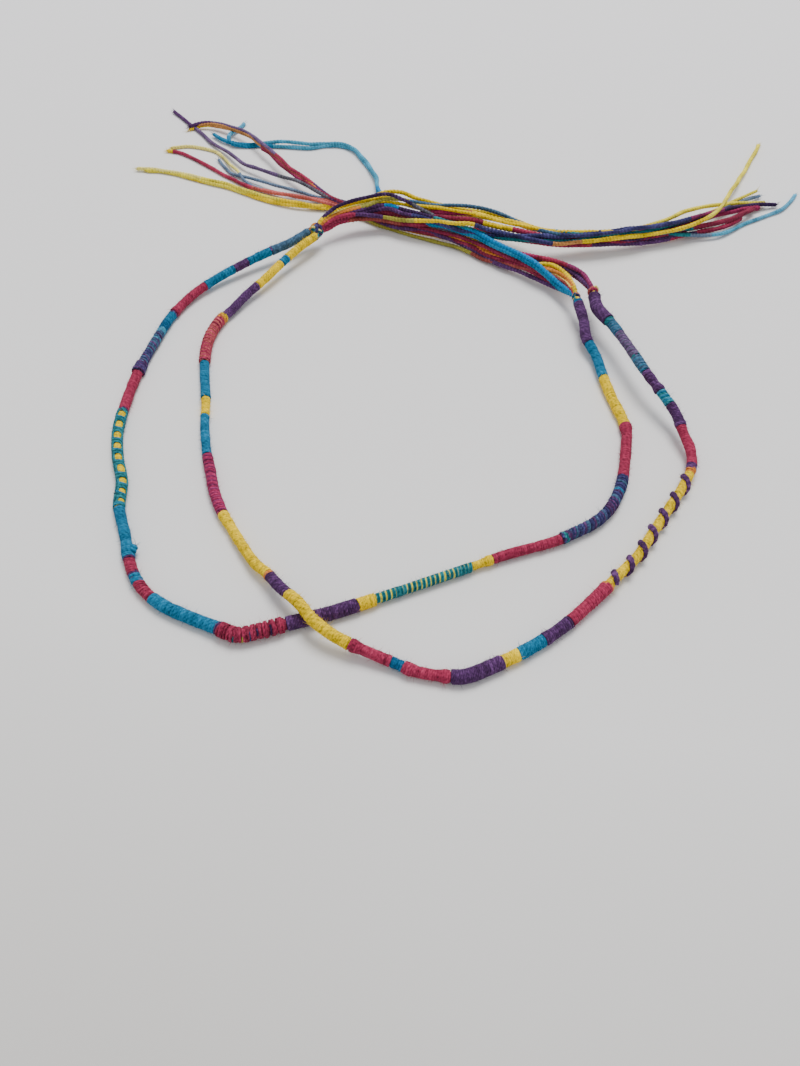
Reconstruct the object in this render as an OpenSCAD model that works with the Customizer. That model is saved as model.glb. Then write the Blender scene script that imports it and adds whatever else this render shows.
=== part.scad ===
// String bracelet: two thread-wrapped strands that share one knot at the left,
// end in a small knot each at the right, and are closed by their bare thread tails,
// which cross behind the loop and fan out to both sides. It lies on a flat surface at z = 0.
// X runs to the right, Y away from the viewer and Z up, with the origin under the middle of the loop.

/* [Strands] */
// Share of the listed thickness that the wraps are given
wrap_fullness = 1; // [0.9:0.05:1]
// Gap between one wrap and the next
wrap_gap = 0.1; // [0.05:0.05:0.2]
// Distance between the rings of a wrap
wrap_ring_step = 2.2; // [1.6:0.1:4]
// Flat sides round a wrap
wrap_sides = 10; // [8:2:12]
// Length of the rounded shoulder at each end of a wrap
shoulder = 0.25; // [0.1:0.05:0.3]

/* [Spiral] */
// Width of the thick purple thread that spirals over the yellow wrap
spiral_w = 0.6; // [0.4:0.05:0.7]
// Thickness of that thread, measured outwards from the wrap
spiral_t = 0.42; // [0.3:0.02:0.46]

/* [Knots] */
// Diameter of the knot that both strands share
shared_knot_d = 2.4; // [2:0.1:2.5]
// Diameter of the small knot at the end of each strand
end_knot_d = 1.6; // [1.2:0.1:1.7]

/* [Tails] */
// Thickness of one bare thread
thread_d = 0.6; // [0.5:0.05:0.65]
// Width of a bundle of bare threads
bundle_w = 1.9; // [1.6:0.1:1.9]
// Height of such a bundle
bundle_h = 1.3; // [1.1:0.1:1.3]
// Flat sides round a bundle or a thread
tail_sides = 8; // [8:2:10]
// Distance between the rings of a bundle
bundle_ring_step = 3.5; // [3:0.5:6]
// Distance between the rings of a loose thread
thread_ring_step = 4.5; // [3:0.5:6]

/* [Hidden] */
BLUE = "#1f7fa6";
DEEP_BLUE = "#2f4a7d";
TEAL = "#1d9aa0";
RED = "#c2304f";
MAGENTA = "#a8386b";
YELLOW = "#e0c544";
PURPLE = "#55366e";

// Columns of a strand's table of wraps
W_NAME = 0;
W_COLOUR = 1;
W_END = 2;
W_DIAMETER = 3;

// The strand that starts outermost at the left and ends innermost at the right.
// End is how far along the strand each wrap reaches, from the shared knot.
OUTER_WRAPS = [
    ["dark_blue", DEEP_BLUE, 7.6, 1.35],
    ["blue", BLUE, 11.9, 1.3],
    ["purple", PURPLE, 14.5, 1.35],
    ["blue", BLUE, 20.2, 1.3],
    ["red", RED, 27.9, 1.45],
    ["blue_violet", DEEP_BLUE, 40, 1.4],
    ["purple", PURPLE, 41.9, 1.45],
    ["red", RED, 50, 1.45],
    ["crossed_teal", TEAL, 67.5, 1.5],
    ["blue", BLUE, 75.9, 1.35],
    ["red", RED, 82.5, 1.4],
    ["blue", BLUE, 91.6, 1.4],
    ["bulky_red", RED, 99.5, 1.75],
    ["purple", PURPLE, 107.8, 1.5],
    ["yellow", YELLOW, 109.9, 1.25],
    ["coiled_teal", TEAL, 122.1, 1.35],
    ["yellow", YELLOW, 124.8, 1.15],
    ["red", RED, 133.8, 1.4],
    ["blue_violet", DEEP_BLUE, 147.8, 1.5],
    ["red", RED, 157.5, 1.45],
    ["yellow", YELLOW, 167, 1.4],
    ["blue", BLUE, 174, 1.35],
    ["purple", PURPLE, 182.5, 1.4]
];

// The strand that starts innermost at the left and ends outermost at the right
INNER_WRAPS = [
    ["yellow", YELLOW, 7.1, 1.35],
    ["blue", BLUE, 8.7, 1.35],
    ["yellow", YELLOW, 14.9, 1.35],
    ["purple", PURPLE, 23.1, 1.35],
    ["orange_red", RED, 34.1, 1.6],
    ["blue", BLUE, 41.7, 1.3],
    ["yellow", YELLOW, 45.2, 1.2],
    ["blue", BLUE, 52.7, 1.25],
    ["magenta", MAGENTA, 63.1, 1.45],
    ["yellow", YELLOW, 74.9, 1.4],
    ["purple", PURPLE, 79.1, 1.45],
    ["yellow", YELLOW, 88.6, 1.45],
    ["red", RED, 93.5, 1.3],
    ["blue", BLUE, 95, 1.25],
    ["red", RED, 100.2, 1.4],
    ["purple", PURPLE, 106.2, 1.45],
    ["yellow", YELLOW, 108.3, 1.4],
    ["blue", BLUE, 111.7, 1.35],
    ["purple", PURPLE, 115.7, 1.4],
    ["red", RED, 122.5, 1.4],
    ["spiralled_yellow", YELLOW, 144.5, 1.15],
    ["red", RED, 151.9, 1.4],
    ["purple", PURPLE, 155.6, 1.4],
    ["blue", BLUE, 158, 1.25],
    ["purple", PURPLE, 161.8, 1.35],
    ["blue", BLUE, 164.7, 1.35],
    ["violet", PURPLE, 170.3, 1.4],
    ["blue", BLUE, 173.6, 1.35],
    ["purple", PURPLE, 180, 1.5]
];

// Centre lines of the strands, from the shared knot round the front to the right
OUTER_ROUTE = [
    [-15.2, 40.6, 2.7], [-18, 38, 2.4], [-22, 35.5, 2], [-26, 32.5, 1.6], [-29.5, 29.5, 1.2],
    [-32.5, 26, 0.9], [-35, 21, 0.7], [-36.5, 14.5, 0.7], [-37.5, 9, 0.7], [-38, 3, 0.7],
    [-38, -3.5, 0.7], [-37, -8.5, 0.7], [-35.5, -13, 0.7], [-35, -17, 0.7], [-33.5, -21, 0.7],
    [-31.5, -26.5, 0.7], [-29.5, -29.5, 0.7], [-27, -31.5, 0.7], [-24, -33, 0.7], [-20.5, -34.5, 0.8],
    [-18, -35.5, 0.9], [-15.5, -35, 0.9], [-12.5, -34, 0.8], [-7.5, -32.5, 0.7], [-1, -30, 0.7],
    [6.5, -27, 0.7], [12.5, -24.5, 0.7], [18.5, -22.5, 0.7], [21.5, -21, 0.7], [24, -19.5, 0.7],
    [26, -17.5, 0.7], [27.5, -15, 0.7], [28.5, -12.5, 0.7], [30, -6.5, 0.7], [30.5, -3, 0.7],
    [29.5, 3, 0.7], [29, 6.5, 0.9], [28.5, 11, 1.2], [27.5, 14.5, 1.7], [27.5, 18, 2.2],
    [27, 22, 2.8]
];
INNER_ROUTE = [
    [-14, 39.7, 2.5], [-16.5, 36.5, 2.4], [-19, 33, 2], [-21.5, 29, 1.6], [-24, 25.5, 1.2],
    [-26, 22, 0.9], [-27.5, 19.5, 0.8], [-28.5, 15.5, 0.8], [-28.5, 11.5, 0.7], [-28, 7.5, 0.7],
    [-27, 2, 0.7], [-26.5, -2.5, 0.7], [-25.5, -7.5, 0.7], [-24.5, -11, 0.7], [-23.5, -14.5, 0.7],
    [-22, -18, 0.7], [-20.5, -20.5, 0.7], [-19, -23, 0.8], [-17, -26, 1.1], [-15.5, -27.5, 1.4],
    [-13.5, -30, 1.9], [-11.5, -32, 2.3], [-9.5, -34.5, 2.3], [-7.5, -36, 1.9], [-5.5, -37, 1.5],
    [-3, -38, 1.1], [-0.5, -39, 0.8], [2, -40, 0.7], [5, -40.5, 0.7], [7, -40.5, 0.7],
    [9.5, -39.5, 0.7], [13.5, -37.5, 0.7], [18, -34.5, 0.7], [22.5, -30.5, 0.9], [25.5, -27.5, 1.06],
    [28, -25, 1.06], [30.5, -21.5, 1.06], [33, -18, 1.06], [35.5, -14.5, 1.06], [37.5, -11, 1.15],
    [38, -8, 1.4], [37.5, -5.5, 1.9], [37, -2.5, 2.5], [36, 0, 3], [34, 4.5, 3.7],
    [33, 8, 3.8], [31, 15, 3.7], [29.5, 19, 3.5], [29.5, 22.5, 3.4]
];

// Row of the inner strand's wraps that the thick thread is laid over
SPIRAL_ROW = 20;
// Where that thread passes over the top of the wrap, as distances along the strand
SPIRAL_TOPS = [123.3, 126.3, 129.2, 132.1, 135.2, 138.4, 142];

SHARED_KNOT = [-14, 41, 2.7];
OUTER_END_KNOT = [26.9, 22.8, 2.9];
INNER_END_KNOT = [29.4, 23.3, 3.4];

// Tails of the shared knot: they rise over the other tails and run to the right
UPPER_LEFT_ROUTE = [
    [-13.2, 41.9, 3.4], [-11, 44.5, 4.1], [-8, 46.5, 4.7], [-5, 47.5, 5.2], [-2, 48.5, 5.4],
    [0.5, 48, 5.3], [4, 46.5, 5], [9.5, 45.5, 4.6], [14.5, 44.5, 4.3], [18.5, 42.5, 4.1],
    [23, 39.5, 3.9], [28, 38.5, 3.7], [34, 39, 3.4], [40, 40.5, 3.2], [46.5, 43, 2.8], [52.5, 47, 2.2]
];
UPPER_LEFT_LOCKS = [
    [2, [[50, 45.5, 2.4], [55, 48.5, 1.9], [62, 51.5, 1.2], [67, 53, 0.6]]],
    [1, [[42, 42.5, 3.1], [50, 48, 2.4], [58.5, 51.5, 1.6], [65, 53, 0.9]]],
    [1, [[44, 41, 3.4], [50, 43, 3.2], [54.5, 47, 2.8], [59, 55, 1.6], [65, 65.5, 0.6], [70, 74.5, 0.3]]],
    [1, [[50, 46, 2.2], [55.5, 49.5, 1.7], [61, 53.5, 1.2], [65, 56, 0.6]]]
];
LOWER_LEFT_ROUTE = [
    [-13, 41.4, 2], [-10, 44, 2.5], [-7.5, 45.5, 3.1], [-4.5, 46.5, 3.4], [-1.5, 46.5, 3.5],
    [1.5, 45, 3.5], [6, 43.5, 3.5], [11, 41, 3.5], [15.5, 39, 3.5], [20.5, 38, 3.1],
    [26.5, 38, 2.1], [33, 39, 1.6], [40, 40, 1.3], [46.5, 42, 1.1], [51, 44, 0.9]
];
LOWER_LEFT_LOCKS = [
    [2, [[46.5, 42, 1.1], [49, 43, 1], [56.5, 45.5, 0.8], [62.5, 50.5, 0.5]]],
    [1, [[46.5, 41.5, 1], [49, 41.5, 0.8], [54, 43, 0.6], [58.5, 46, 0.4], [62.5, 48.5, 0.3],
        [67.5, 51.5, 0.3], [71.5, 56.5, 0.3]]]
];

// Tails of the end knots: they pass under the other tails and run to the left
OUTER_RIGHT_ROUTE = [
    [26.7, 23.7, 3], [25.5, 27.5, 2.9], [24, 29.5, 2.8], [21.5, 31.5, 2.5], [18.5, 34, 2.2],
    [15, 36.5, 1.9], [11.5, 39.5, 1.6], [7, 42, 1.3], [2.5, 44, 1.1], [-1.5, 46, 0.9],
    [-5, 48, 0.8], [-8.5, 50.5, 0.8], [-11.5, 51.5, 0.9]
];
OUTER_RIGHT_LOCKS = [
    [2, [[1, 45, 1.2], [-1, 47.5, 1.9], [-2.7, 51, 2.5], [-4, 55.5, 1.7], [-4.5, 61.5, 0.9],
        [-6.5, 67.5, 0.6], [-9.5, 73, 0.5], [-13, 74.5, 0.5], [-17, 73.5, 0.5], [-21.5, 74, 0.5],
        [-25.5, 74.5, 0.5], [-30, 74, 0.5], [-34.5, 76, 0.5], [-37, 78.5, 0.5]]],
    [1, [[-10, 51, 0.9], [-18.5, 52.5, 0.8], [-25.5, 55.5, 0.6], [-32, 59.5, 0.5], [-37, 61.5, 0.4],
        [-41, 63.5, 0.3], [-46, 65, 0.3], [-49.5, 65, 0.3]]],
    [1, [[-10, 51.3, 0.9], [-16, 54, 0.8], [-21, 56, 0.7], [-26, 58, 0.6], [-30, 61, 0.4],
        [-34, 64.5, 0.3], [-38, 68, 0.3], [-42, 71.5, 0.3], [-45, 72.5, 0.3]]],
    [1, [[-10, 51.5, 1], [-14.5, 53.5, 1.2], [-18.5, 56, 1.2], [-23.5, 59, 1], [-27.5, 61.5, 0.7],
        [-30.5, 63, 0.5], [-32.5, 65, 0.3], [-34.5, 69, 0.3]]],
    [1, [[-16, 54, 0.9], [-21, 56.5, 1.1], [-26, 59, 1.1], [-28.5, 61.5, 1], [-30.5, 64.5, 0.8],
        [-32.5, 67.5, 0.5], [-34.5, 71, 0.3], [-37.5, 73, 0.3], [-41.5, 74, 0.3], [-44.5, 73.5, 0.3]]]
];
INNER_RIGHT_ROUTE = [
    [29.2, 24.2, 3.4], [28, 27.5, 3.4], [26, 30, 3.3], [23.5, 32.5, 2.9], [21, 35, 2.4],
    [17.5, 38, 1.9], [13.5, 41, 1.5], [9.5, 44, 1.3], [5, 46.5, 1.1], [1, 48.5, 1],
    [-2.5, 51, 1], [-6, 52.5, 1.1], [-9, 53.5, 1.3], [-11.5, 54, 1.6]
];
INNER_RIGHT_LOCKS = [
    [3, [[-9, 53.5, 1.3], [-12, 54.5, 1.7], [-16.5, 58, 2.2], [-20.5, 62.5, 2.3], [-23, 66.5, 2.2],
        [-26, 71, 2], [-30, 76.5, 1.7], [-35, 80.5, 1.2], [-39, 82, 0.9], [-42, 81, 0.6]]],
    [1, [[-9, 53.3, 1.3], [-14.5, 55.5, 1.8], [-18.5, 58.5, 1.7], [-22.5, 61, 1.5], [-26.5, 64, 1.3],
        [-30.5, 67.5, 1], [-33.5, 71.5, 0.8], [-36.5, 75, 0.5], [-39.5, 79.5, 0.3], [-46.5, 88.5, 0.3]]]
];

// Columns of a table of locks
L_THREADS = 0;
L_ROUTE = 1;

UP = [0, 0, 1];
// Points that a smooth curve puts between two points of a route
CURVE_STEPS = 6;

function two_digits(n) = n < 10 ? str("0", n) : str(n);
function wrap_node(strand, table, i) = str(strand, "_", two_digits(i + 1), "_", table[i][W_NAME]);
OUTER_NODES = [for (i = [0 : len(OUTER_WRAPS) - 1]) wrap_node("outer", OUTER_WRAPS, i)];
INNER_NODES = [for (i = [0 : len(INNER_WRAPS) - 1]) wrap_node("inner", INNER_WRAPS, i)];

function unit(v) = v / norm(v);

// Direction of a route at its point i: along the neighbours, or the end's own step
function heading(route, i) =
    i == 0 ? unit(route[1] - route[0]) :
    i == len(route) - 1 ? unit(route[i] - route[i - 1]) :
    (route[i + 1] - route[i - 1]) / (norm(route[i + 1] - route[i]) + norm(route[i] - route[i - 1]));

// Point at share t of the smooth step from point i to the next
function hermite(route, i, t) =
    let (span = norm(route[i + 1] - route[i]))
    (2 * pow(t, 3) - 3 * pow(t, 2) + 1) * route[i]
    + (pow(t, 3) - 2 * pow(t, 2) + t) * span * heading(route, i)
    + (3 * pow(t, 2) - 2 * pow(t, 3)) * route[i + 1]
    + (pow(t, 3) - pow(t, 2)) * span * heading(route, i + 1);

function smooth(route) = concat(
    [for (i = [0 : len(route) - 2], k = [0 : CURVE_STEPS - 1]) hermite(route, i, k / CURVE_STEPS)],
    [route[len(route) - 1]]
);

// Distance along a line to each of its points
function distances(line) = [
    for (i = 0, d = 0; i < len(line); i = i + 1, d = i < len(line) ? d + norm(line[i] - line[i - 1]) : d) d
];

// Index of the stretch of a line that holds distance s
function stretch(marks, s, i = 0) = i >= len(marks) - 2 || s < marks[i + 1] ? i : stretch(marks, s, i + 1);

function point_at(line, marks, s) =
    let (i = stretch(marks, s), share = (s - marks[i]) / (marks[i + 1] - marks[i]))
    line[i] + (line[i + 1] - line[i]) * share;

function heading_at(line, marks, s) =
    let (reach = 0.4, total = marks[len(marks) - 1])
    unit(point_at(line, marks, min(s + reach, total)) - point_at(line, marks, max(s - reach, 0)));

// One ring of points round the line, w wide and h high, with a corner at its lowest point
function ring(centre, along, w, h, sides) =
    let (side = unit(cross(along, UP)), top = cross(side, along))
    [for (k = [0 : sides - 1])
        let (a = 360 * k / sides - 90)
        centre + side * cos(a) * w / 2 + top * sin(a) * h / 2];

// Closed skin over rings that all have the same number of points
module skin(rings) {
    sides = len(rings[0]);
    last = len(rings) - 1;
    polyhedron(
        points = [for (r = rings, p = r) p],
        faces = concat(
            [[for (k = [sides - 1 : -1 : 0]) k]],
            [for (i = [0 : last - 1], k = [0 : sides - 1])
                let (n = (k + 1) % sides)
                [i * sides + k, (i + 1) * sides + n, (i + 1) * sides + k]],
            [for (i = [0 : last - 1], k = [0 : sides - 1])
                let (n = (k + 1) % sides)
                [i * sides + k, i * sides + n, (i + 1) * sides + n]],
            [[for (k = [0 : sides - 1]) last * sides + k]]
        )
    );
}

// A tube along a line from distance s0 to s1, with rounded shoulders and its underside at or above z = 0
module tube(line, marks, s0, s1, w, h, sides, step) {
    middle = max(1, ceil((s1 - s0 - 2 * shoulder) / step));
    stations = concat(
        [s0],
        [for (i = [0 : middle]) s0 + shoulder + (s1 - s0 - 2 * shoulder) * i / middle],
        [s1]
    );
    skin([for (i = [0 : len(stations) - 1])
        let (
            end = i == 0 || i == len(stations) - 1,
            share = end ? 0.8 : 1,
            p = point_at(line, marks, stations[i]),
            along = heading_at(line, marks, stations[i])
        )
        ring([p.x, p.y, max(p.z, h / 2)], along, w * share, h * share, sides)]);
}

module wrap(table, line, marks, i) {
    start = i == 0 ? 0 : table[i - 1][W_END] + wrap_gap / 2;
    end = min(table[i][W_END] - wrap_gap / 2, marks[len(marks) - 1]);
    d = table[i][W_DIAMETER] * wrap_fullness;
    color(table[i][W_COLOUR])
        tube(line, marks, start, end, d, d, wrap_sides, wrap_ring_step);
}

module whole_tube(route, w, h, step) {
    line = smooth(route);
    marks = distances(line);
    tube(line, marks, 0, marks[len(marks) - 1], w, h, tail_sides, step);
}

// A bundle of tails with the locks that fan out from its far end
module tails(route, locks) {
    whole_tube(route, bundle_w, bundle_h, bundle_ring_step);
    for (lock = locks) {
        d = thread_d * sqrt(lock[L_THREADS]) * (lock[L_THREADS] > 1 ? 1.05 : 1);
        whole_tube(lock[L_ROUTE], d, d, thread_ring_step);
    }
}

// Distance along the strand that the thick thread has reached after a number of turns
function spiral_distance(turns) =
    let (i = max(0, min(len(SPIRAL_TOPS) - 2, floor(turns))))
    SPIRAL_TOPS[i] + (SPIRAL_TOPS[i + 1] - SPIRAL_TOPS[i]) * (turns - i);

// Outward direction of that thread from the strand's centre line
function spiral_out(line, marks, turns) =
    let (
        along = heading_at(line, marks, spiral_distance(turns)),
        side = unit(cross(along, UP)),
        angle = 90 + 360 * turns
    )
    side * cos(angle) + cross(side, along) * sin(angle);

function spiral_centre(line, marks, radius, turns) =
    point_at(line, marks, spiral_distance(turns)) + spiral_out(line, marks, turns) * radius;

// The thick thread laid round the last long yellow wrap in open turns
module purple_spiral() {
    line = smooth(INNER_ROUTE);
    marks = distances(line);
    clearance = 0.04;
    radius = INNER_WRAPS[SPIRAL_ROW][W_DIAMETER] * wrap_fullness / 2 + clearance + spiral_t / 2;
    first = -0.2;
    last = 6.4;
    sides = 6;
    steps = 66;
    color(PURPLE)
        skin([for (i = [0 : steps])
            let (
                turns = first + (last - first) * i / steps,
                centre = spiral_centre(line, marks, radius, turns),
                out = spiral_out(line, marks, turns),
                run = unit(spiral_centre(line, marks, radius, turns + 0.02)
                    - spiral_centre(line, marks, radius, turns - 0.02)),
                wide = cross(out, run),
                share = i == 0 || i == steps ? 0.6 : 1
            )
            [for (k = [0 : sides - 1])
                let (angle = 360 * k / sides)
                centre + out * cos(angle) * spiral_t / 2 * share
                + wide * sin(angle) * spiral_w / 2 * share]]);
}

// A round knot with two turns of thread drawn across it
module knot(centre, d, lean) {
    coil = d * 0.17;
    translate(centre) {
        sphere(d = d * 0.86);
        for (a = [lean, lean + 55])
            rotate([a, 20, a])
                rotate_extrude()
                    translate([d / 2 - coil, 0])
                        circle(r = coil);
    }
}

module shared_knot() {
    color(PURPLE) knot(SHARED_KNOT, shared_knot_d, 60);
}

module outer_end_knot() {
    color(BLUE) knot(OUTER_END_KNOT, end_knot_d, 30);
}

module inner_end_knot() {
    color(RED) knot(INNER_END_KNOT, end_knot_d, 100);
}

module upper_left_tails() {
    color(YELLOW) tails(UPPER_LEFT_ROUTE, UPPER_LEFT_LOCKS);
}

module lower_left_tails() {
    color(MAGENTA) tails(LOWER_LEFT_ROUTE, LOWER_LEFT_LOCKS);
}

module outer_right_tails() {
    color(BLUE) tails(OUTER_RIGHT_ROUTE, OUTER_RIGHT_LOCKS);
}

module inner_right_tails() {
    color(PURPLE) tails(INNER_RIGHT_ROUTE, INNER_RIGHT_LOCKS);
}

module strand(nodes, table, route) {
    line = smooth(route);
    marks = distances(line);
    for (i = [0 : len(table) - 1])
        wrap(table, line, marks, i);
}

strand(OUTER_NODES, OUTER_WRAPS, OUTER_ROUTE);
strand(INNER_NODES, INNER_WRAPS, INNER_ROUTE);
purple_spiral();
shared_knot();
outer_end_knot();
inner_end_knot();
upper_left_tails();
lower_left_tails();
outer_right_tails();
inner_right_tails();
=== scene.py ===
"""String bracelet: two strands wound with cotton thread, three knots and their bare thread tails.

Lengths in the tables are millimetres, in the model's own frame: X to the right, Y away from the
viewer, Z up, with the surface that the bracelet lies on at z = 0.
"""
import math

import bpy
import numpy as np
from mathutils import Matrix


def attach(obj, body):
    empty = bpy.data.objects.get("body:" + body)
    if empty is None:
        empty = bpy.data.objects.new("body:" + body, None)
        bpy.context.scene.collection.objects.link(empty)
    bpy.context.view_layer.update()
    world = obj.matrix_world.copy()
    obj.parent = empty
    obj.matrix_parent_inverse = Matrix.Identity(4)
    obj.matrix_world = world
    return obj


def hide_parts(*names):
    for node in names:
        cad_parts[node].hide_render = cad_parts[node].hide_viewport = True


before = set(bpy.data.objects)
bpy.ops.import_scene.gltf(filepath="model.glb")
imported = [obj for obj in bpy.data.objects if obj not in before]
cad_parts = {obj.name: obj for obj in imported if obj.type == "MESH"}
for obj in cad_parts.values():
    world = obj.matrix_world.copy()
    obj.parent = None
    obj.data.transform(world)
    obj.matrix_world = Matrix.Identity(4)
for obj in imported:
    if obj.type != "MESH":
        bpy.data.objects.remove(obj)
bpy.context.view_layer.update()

MM = 0.001
UP = np.array([0.0, 0.0, 1.0])
FULL_TURN = 2 * math.pi

# Camera: where the photograph was taken from
CAMERA_PLACE = (0.0, -80.6, 77.7)
CAMERA_PITCH = 52.34
CAMERA_LENS = 27.05
CAMERA_SENSOR = 36.0
CAMERA_NEAREST = 0.001

# Colours of the cotton, as sRGB
COLOURS = {
    "blue": (22, 108, 144),
    "light_blue": (84, 156, 188),
    "bright_blue": (16, 118, 172),
    "deep_blue": (14, 84, 122),
    "sky": (70, 150, 180),
    "teal": (34, 112, 120),
    "dark_teal": (20, 78, 86),
    "dark_blue": (62, 93, 120),
    "navy": (52, 50, 92),
    "blue_grey": (100, 120, 146),
    "purple": (73, 43, 84),
    "dark_purple": (46, 28, 60),
    "violet": (93, 73, 108),
    "grey_violet": (90, 86, 110),
    "red": (150, 45, 74),
    "crimson": (121, 36, 60),
    "orange_red": (184, 92, 88),
    "magenta": (155, 45, 87),
    "yellow": (228, 194, 8),
    "pale_yellow": (228, 216, 120),
    "orange": (204, 126, 56),
    "olive": (148, 142, 58),
    "lemon": (222, 206, 64),
    "smoke": (84, 82, 92),
    "plum": (118, 42, 84),
    "steel": (44, 102, 132),
    "rust": (134, 64, 58),
    "tan": (188, 130, 74),
}

# The wraps of the strand that starts outermost at the left, each from the end of the one before it: name,
# end along the strand, diameter, what the thread adds to the diameter, and what sets it apart. threads:
# colours that are wound side by side; zones: stretches of another colour, as start, end and colour;
# bumps: swellings, as place, reach and height; lumps: how uneven the wrap is; fine: turns are thinner and
# closer; stub: where a short cut end stands out
OUTER_WRAPS = [
    ("dark_blue", 7.6, 1.35, 0.1, {"lumps": 0.03, "bumps": [(7.3, 0.3, 0.06)],
     "zones": [(7.45, 7.6, "purple")]}),
    ("blue", 11.9, 1.3, 0.1, {}),
    ("purple", 14.5, 1.35, 0, {}),
    ("blue", 20.2, 1.3, 0.08, {}),
    ("red", 27.9, 1.45, -0.08, {"bumps": [(27.3, 0.5, 0.06)]}),
    ("blue_violet", 40, 1.4, 0, {"threads": ["navy", "dark_blue", "purple", "dark_blue"],
     "zones": [(27.9, 28.2, "purple"), (28.2, 30.3, "blue"), (30.3, 32, "deep_blue"), (32, 32.8, "sky"),
     (34.2, 34.5, "sky"), (37.4, 38.4, "navy")]}),
    ("purple", 41.9, 1.45, 0.3, {"threads": ["purple", "navy"], "bumps": [(41.6, 0.4, 0.1)]}),
    ("red", 50, 1.45, 0, {"zones": [(49.55, 49.8, "purple"), (49.8, 50, "teal")]}),
    ("crossed_teal", 67.5, 1.5, 0, {}),
    ("blue", 75.9, 1.35, 0.05,
     {"bumps": [(74.8, 0.8, 0.12)], "zones": [(75.65, 75.9, "purple")], "stub": 74.6}),
    ("red", 82.5, 1.4, 0, {"zones": [(78.1, 78.4, "purple"), (78.4, 79.7, "blue")],
     "bumps": [(79, 0.5, 0.04)], "threads": ["red", "red", "crimson"]}),
    ("blue", 91.6, 1.4, 0.16, {}),
    ("bulky_red", 99.5, 1.75, 0, {}),
    ("purple", 107.8, 1.5, 0.2, {}),
    ("yellow", 109.9, 1.25, 0.3, {}),
    ("coiled_teal", 122.1, 1.35, 0, {}),
    ("yellow", 124.8, 1.15, -0.12, {"bumps": [(124.3, 0.35, 0.14)]}),
    ("red", 133.8, 1.4, -0.12, {}),
    ("blue_violet", 147.8, 1.5, 0,
     {"threads": ["navy", "purple", "navy", "dark_blue", "navy", "dark_blue"],
     "zones": [(133.8, 134.1, "navy"), (134.1, 134.5, "teal"), (134.5, 135, "purple"),
     (141.6, 142.9, "purple"), (144.9, 145.2, "blue"), (146.6, 147.8, "navy")]}),
    ("red", 157.5, 1.45, 0, {"bumps": [(157, 0.6, 0.12)]}),
    ("yellow", 167, 1.4, 0.08, {}),
    ("blue", 174, 1.35, 0.08, {}),
    ("purple", 182.5, 1.4, 0.16, {"zones": [(182, 182.5, "deep_blue")]}),
]
# The same for the strand that starts innermost at the left
INNER_WRAPS = [
    ("yellow", 7.1, 1.35, 0, {}),
    ("blue", 8.7, 1.35, 0, {}),
    ("yellow", 14.9, 1.35, 0, {}),
    ("purple", 23.1, 1.35, 0, {}),
    ("orange_red", 34.1, 1.6, 0.1, {"zones": [(23.1, 23.5, "yellow"), (23.5, 24.1, "orange")],
     "threads": ["red", "orange_red", "red"]}),
    ("blue", 41.7, 1.3, 0.08, {}),
    ("yellow", 45.2, 1.2, 0, {}),
    ("blue", 52.7, 1.25, 0, {}),
    ("magenta", 63.1, 1.45, 0, {"threads": ["magenta", "magenta", "plum"]}),
    ("yellow", 74.9, 1.4, -0.08, {"bumps": [(63.5, 0.35, 0.1)]}),
    ("purple", 79.1, 1.45, -0.08, {"fine": True, "zones": [(74.9, 75.2, "orange")]}),
    ("yellow", 88.6, 1.45, -0.02, {}),
    ("red", 93.5, 1.3, 0, {"bumps": [(89.1, 0.5, 0.15)]}),
    ("blue", 95, 1.25, 0, {"threads": ["deep_blue"]}),
    ("red", 100.2, 1.4, -0.1, {"bumps": [(95.7, 0.5, 0.12), (99.6, 0.4, 0.14)]}),
    ("purple", 106.2, 1.45, 0.24, {"fine": True}),
    ("yellow", 108.3, 1.4, 0.08, {}),
    ("blue", 111.7, 1.35, 0.18, {}),
    ("purple", 115.7, 1.4, 0.12, {"lumps": 0.04}),
    ("red", 122.5, 1.4, 0.08, {"bumps": [(121.6, 0.9, 0.1)], "zones": [(122.2, 122.5, "orange")]}),
    ("spiralled_yellow", 144.5, 1.15, 0.06, {"zones": [(144.1, 144.5, "orange")]}),
    ("red", 151.9, 1.4, -0.06, {"zones": [(144.4, 144.8, "orange"), (144.8, 145.7, "purple")]}),
    ("purple", 155.6, 1.4, 0, {"lumps": 0.03, "bumps": [(152.3, 0.4, 0.08)]}),
    ("blue", 158, 1.25, 0.1, {"threads": ["teal", "sky", "blue"]}),
    ("purple", 161.8, 1.35, 0, {"lumps": 0.03, "bumps": [(158.4, 0.4, 0.1)]}),
    ("blue", 164.7, 1.35, 0.1, {"threads": ["dark_blue", "steel", "dark_blue"]}),
    ("violet", 170.3, 1.4, 0, {"zones": [(164.7, 165, "teal")],
     "threads": ["violet", "violet", "grey_violet"]}),
    ("blue", 173.6, 1.35, 0.18, {"threads": ["dark_blue", "steel"], "zones": [(172.9, 173.6, "teal")]}),
    ("purple", 180, 1.5, 0.36, {"lumps": 0.03}),
]
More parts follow.
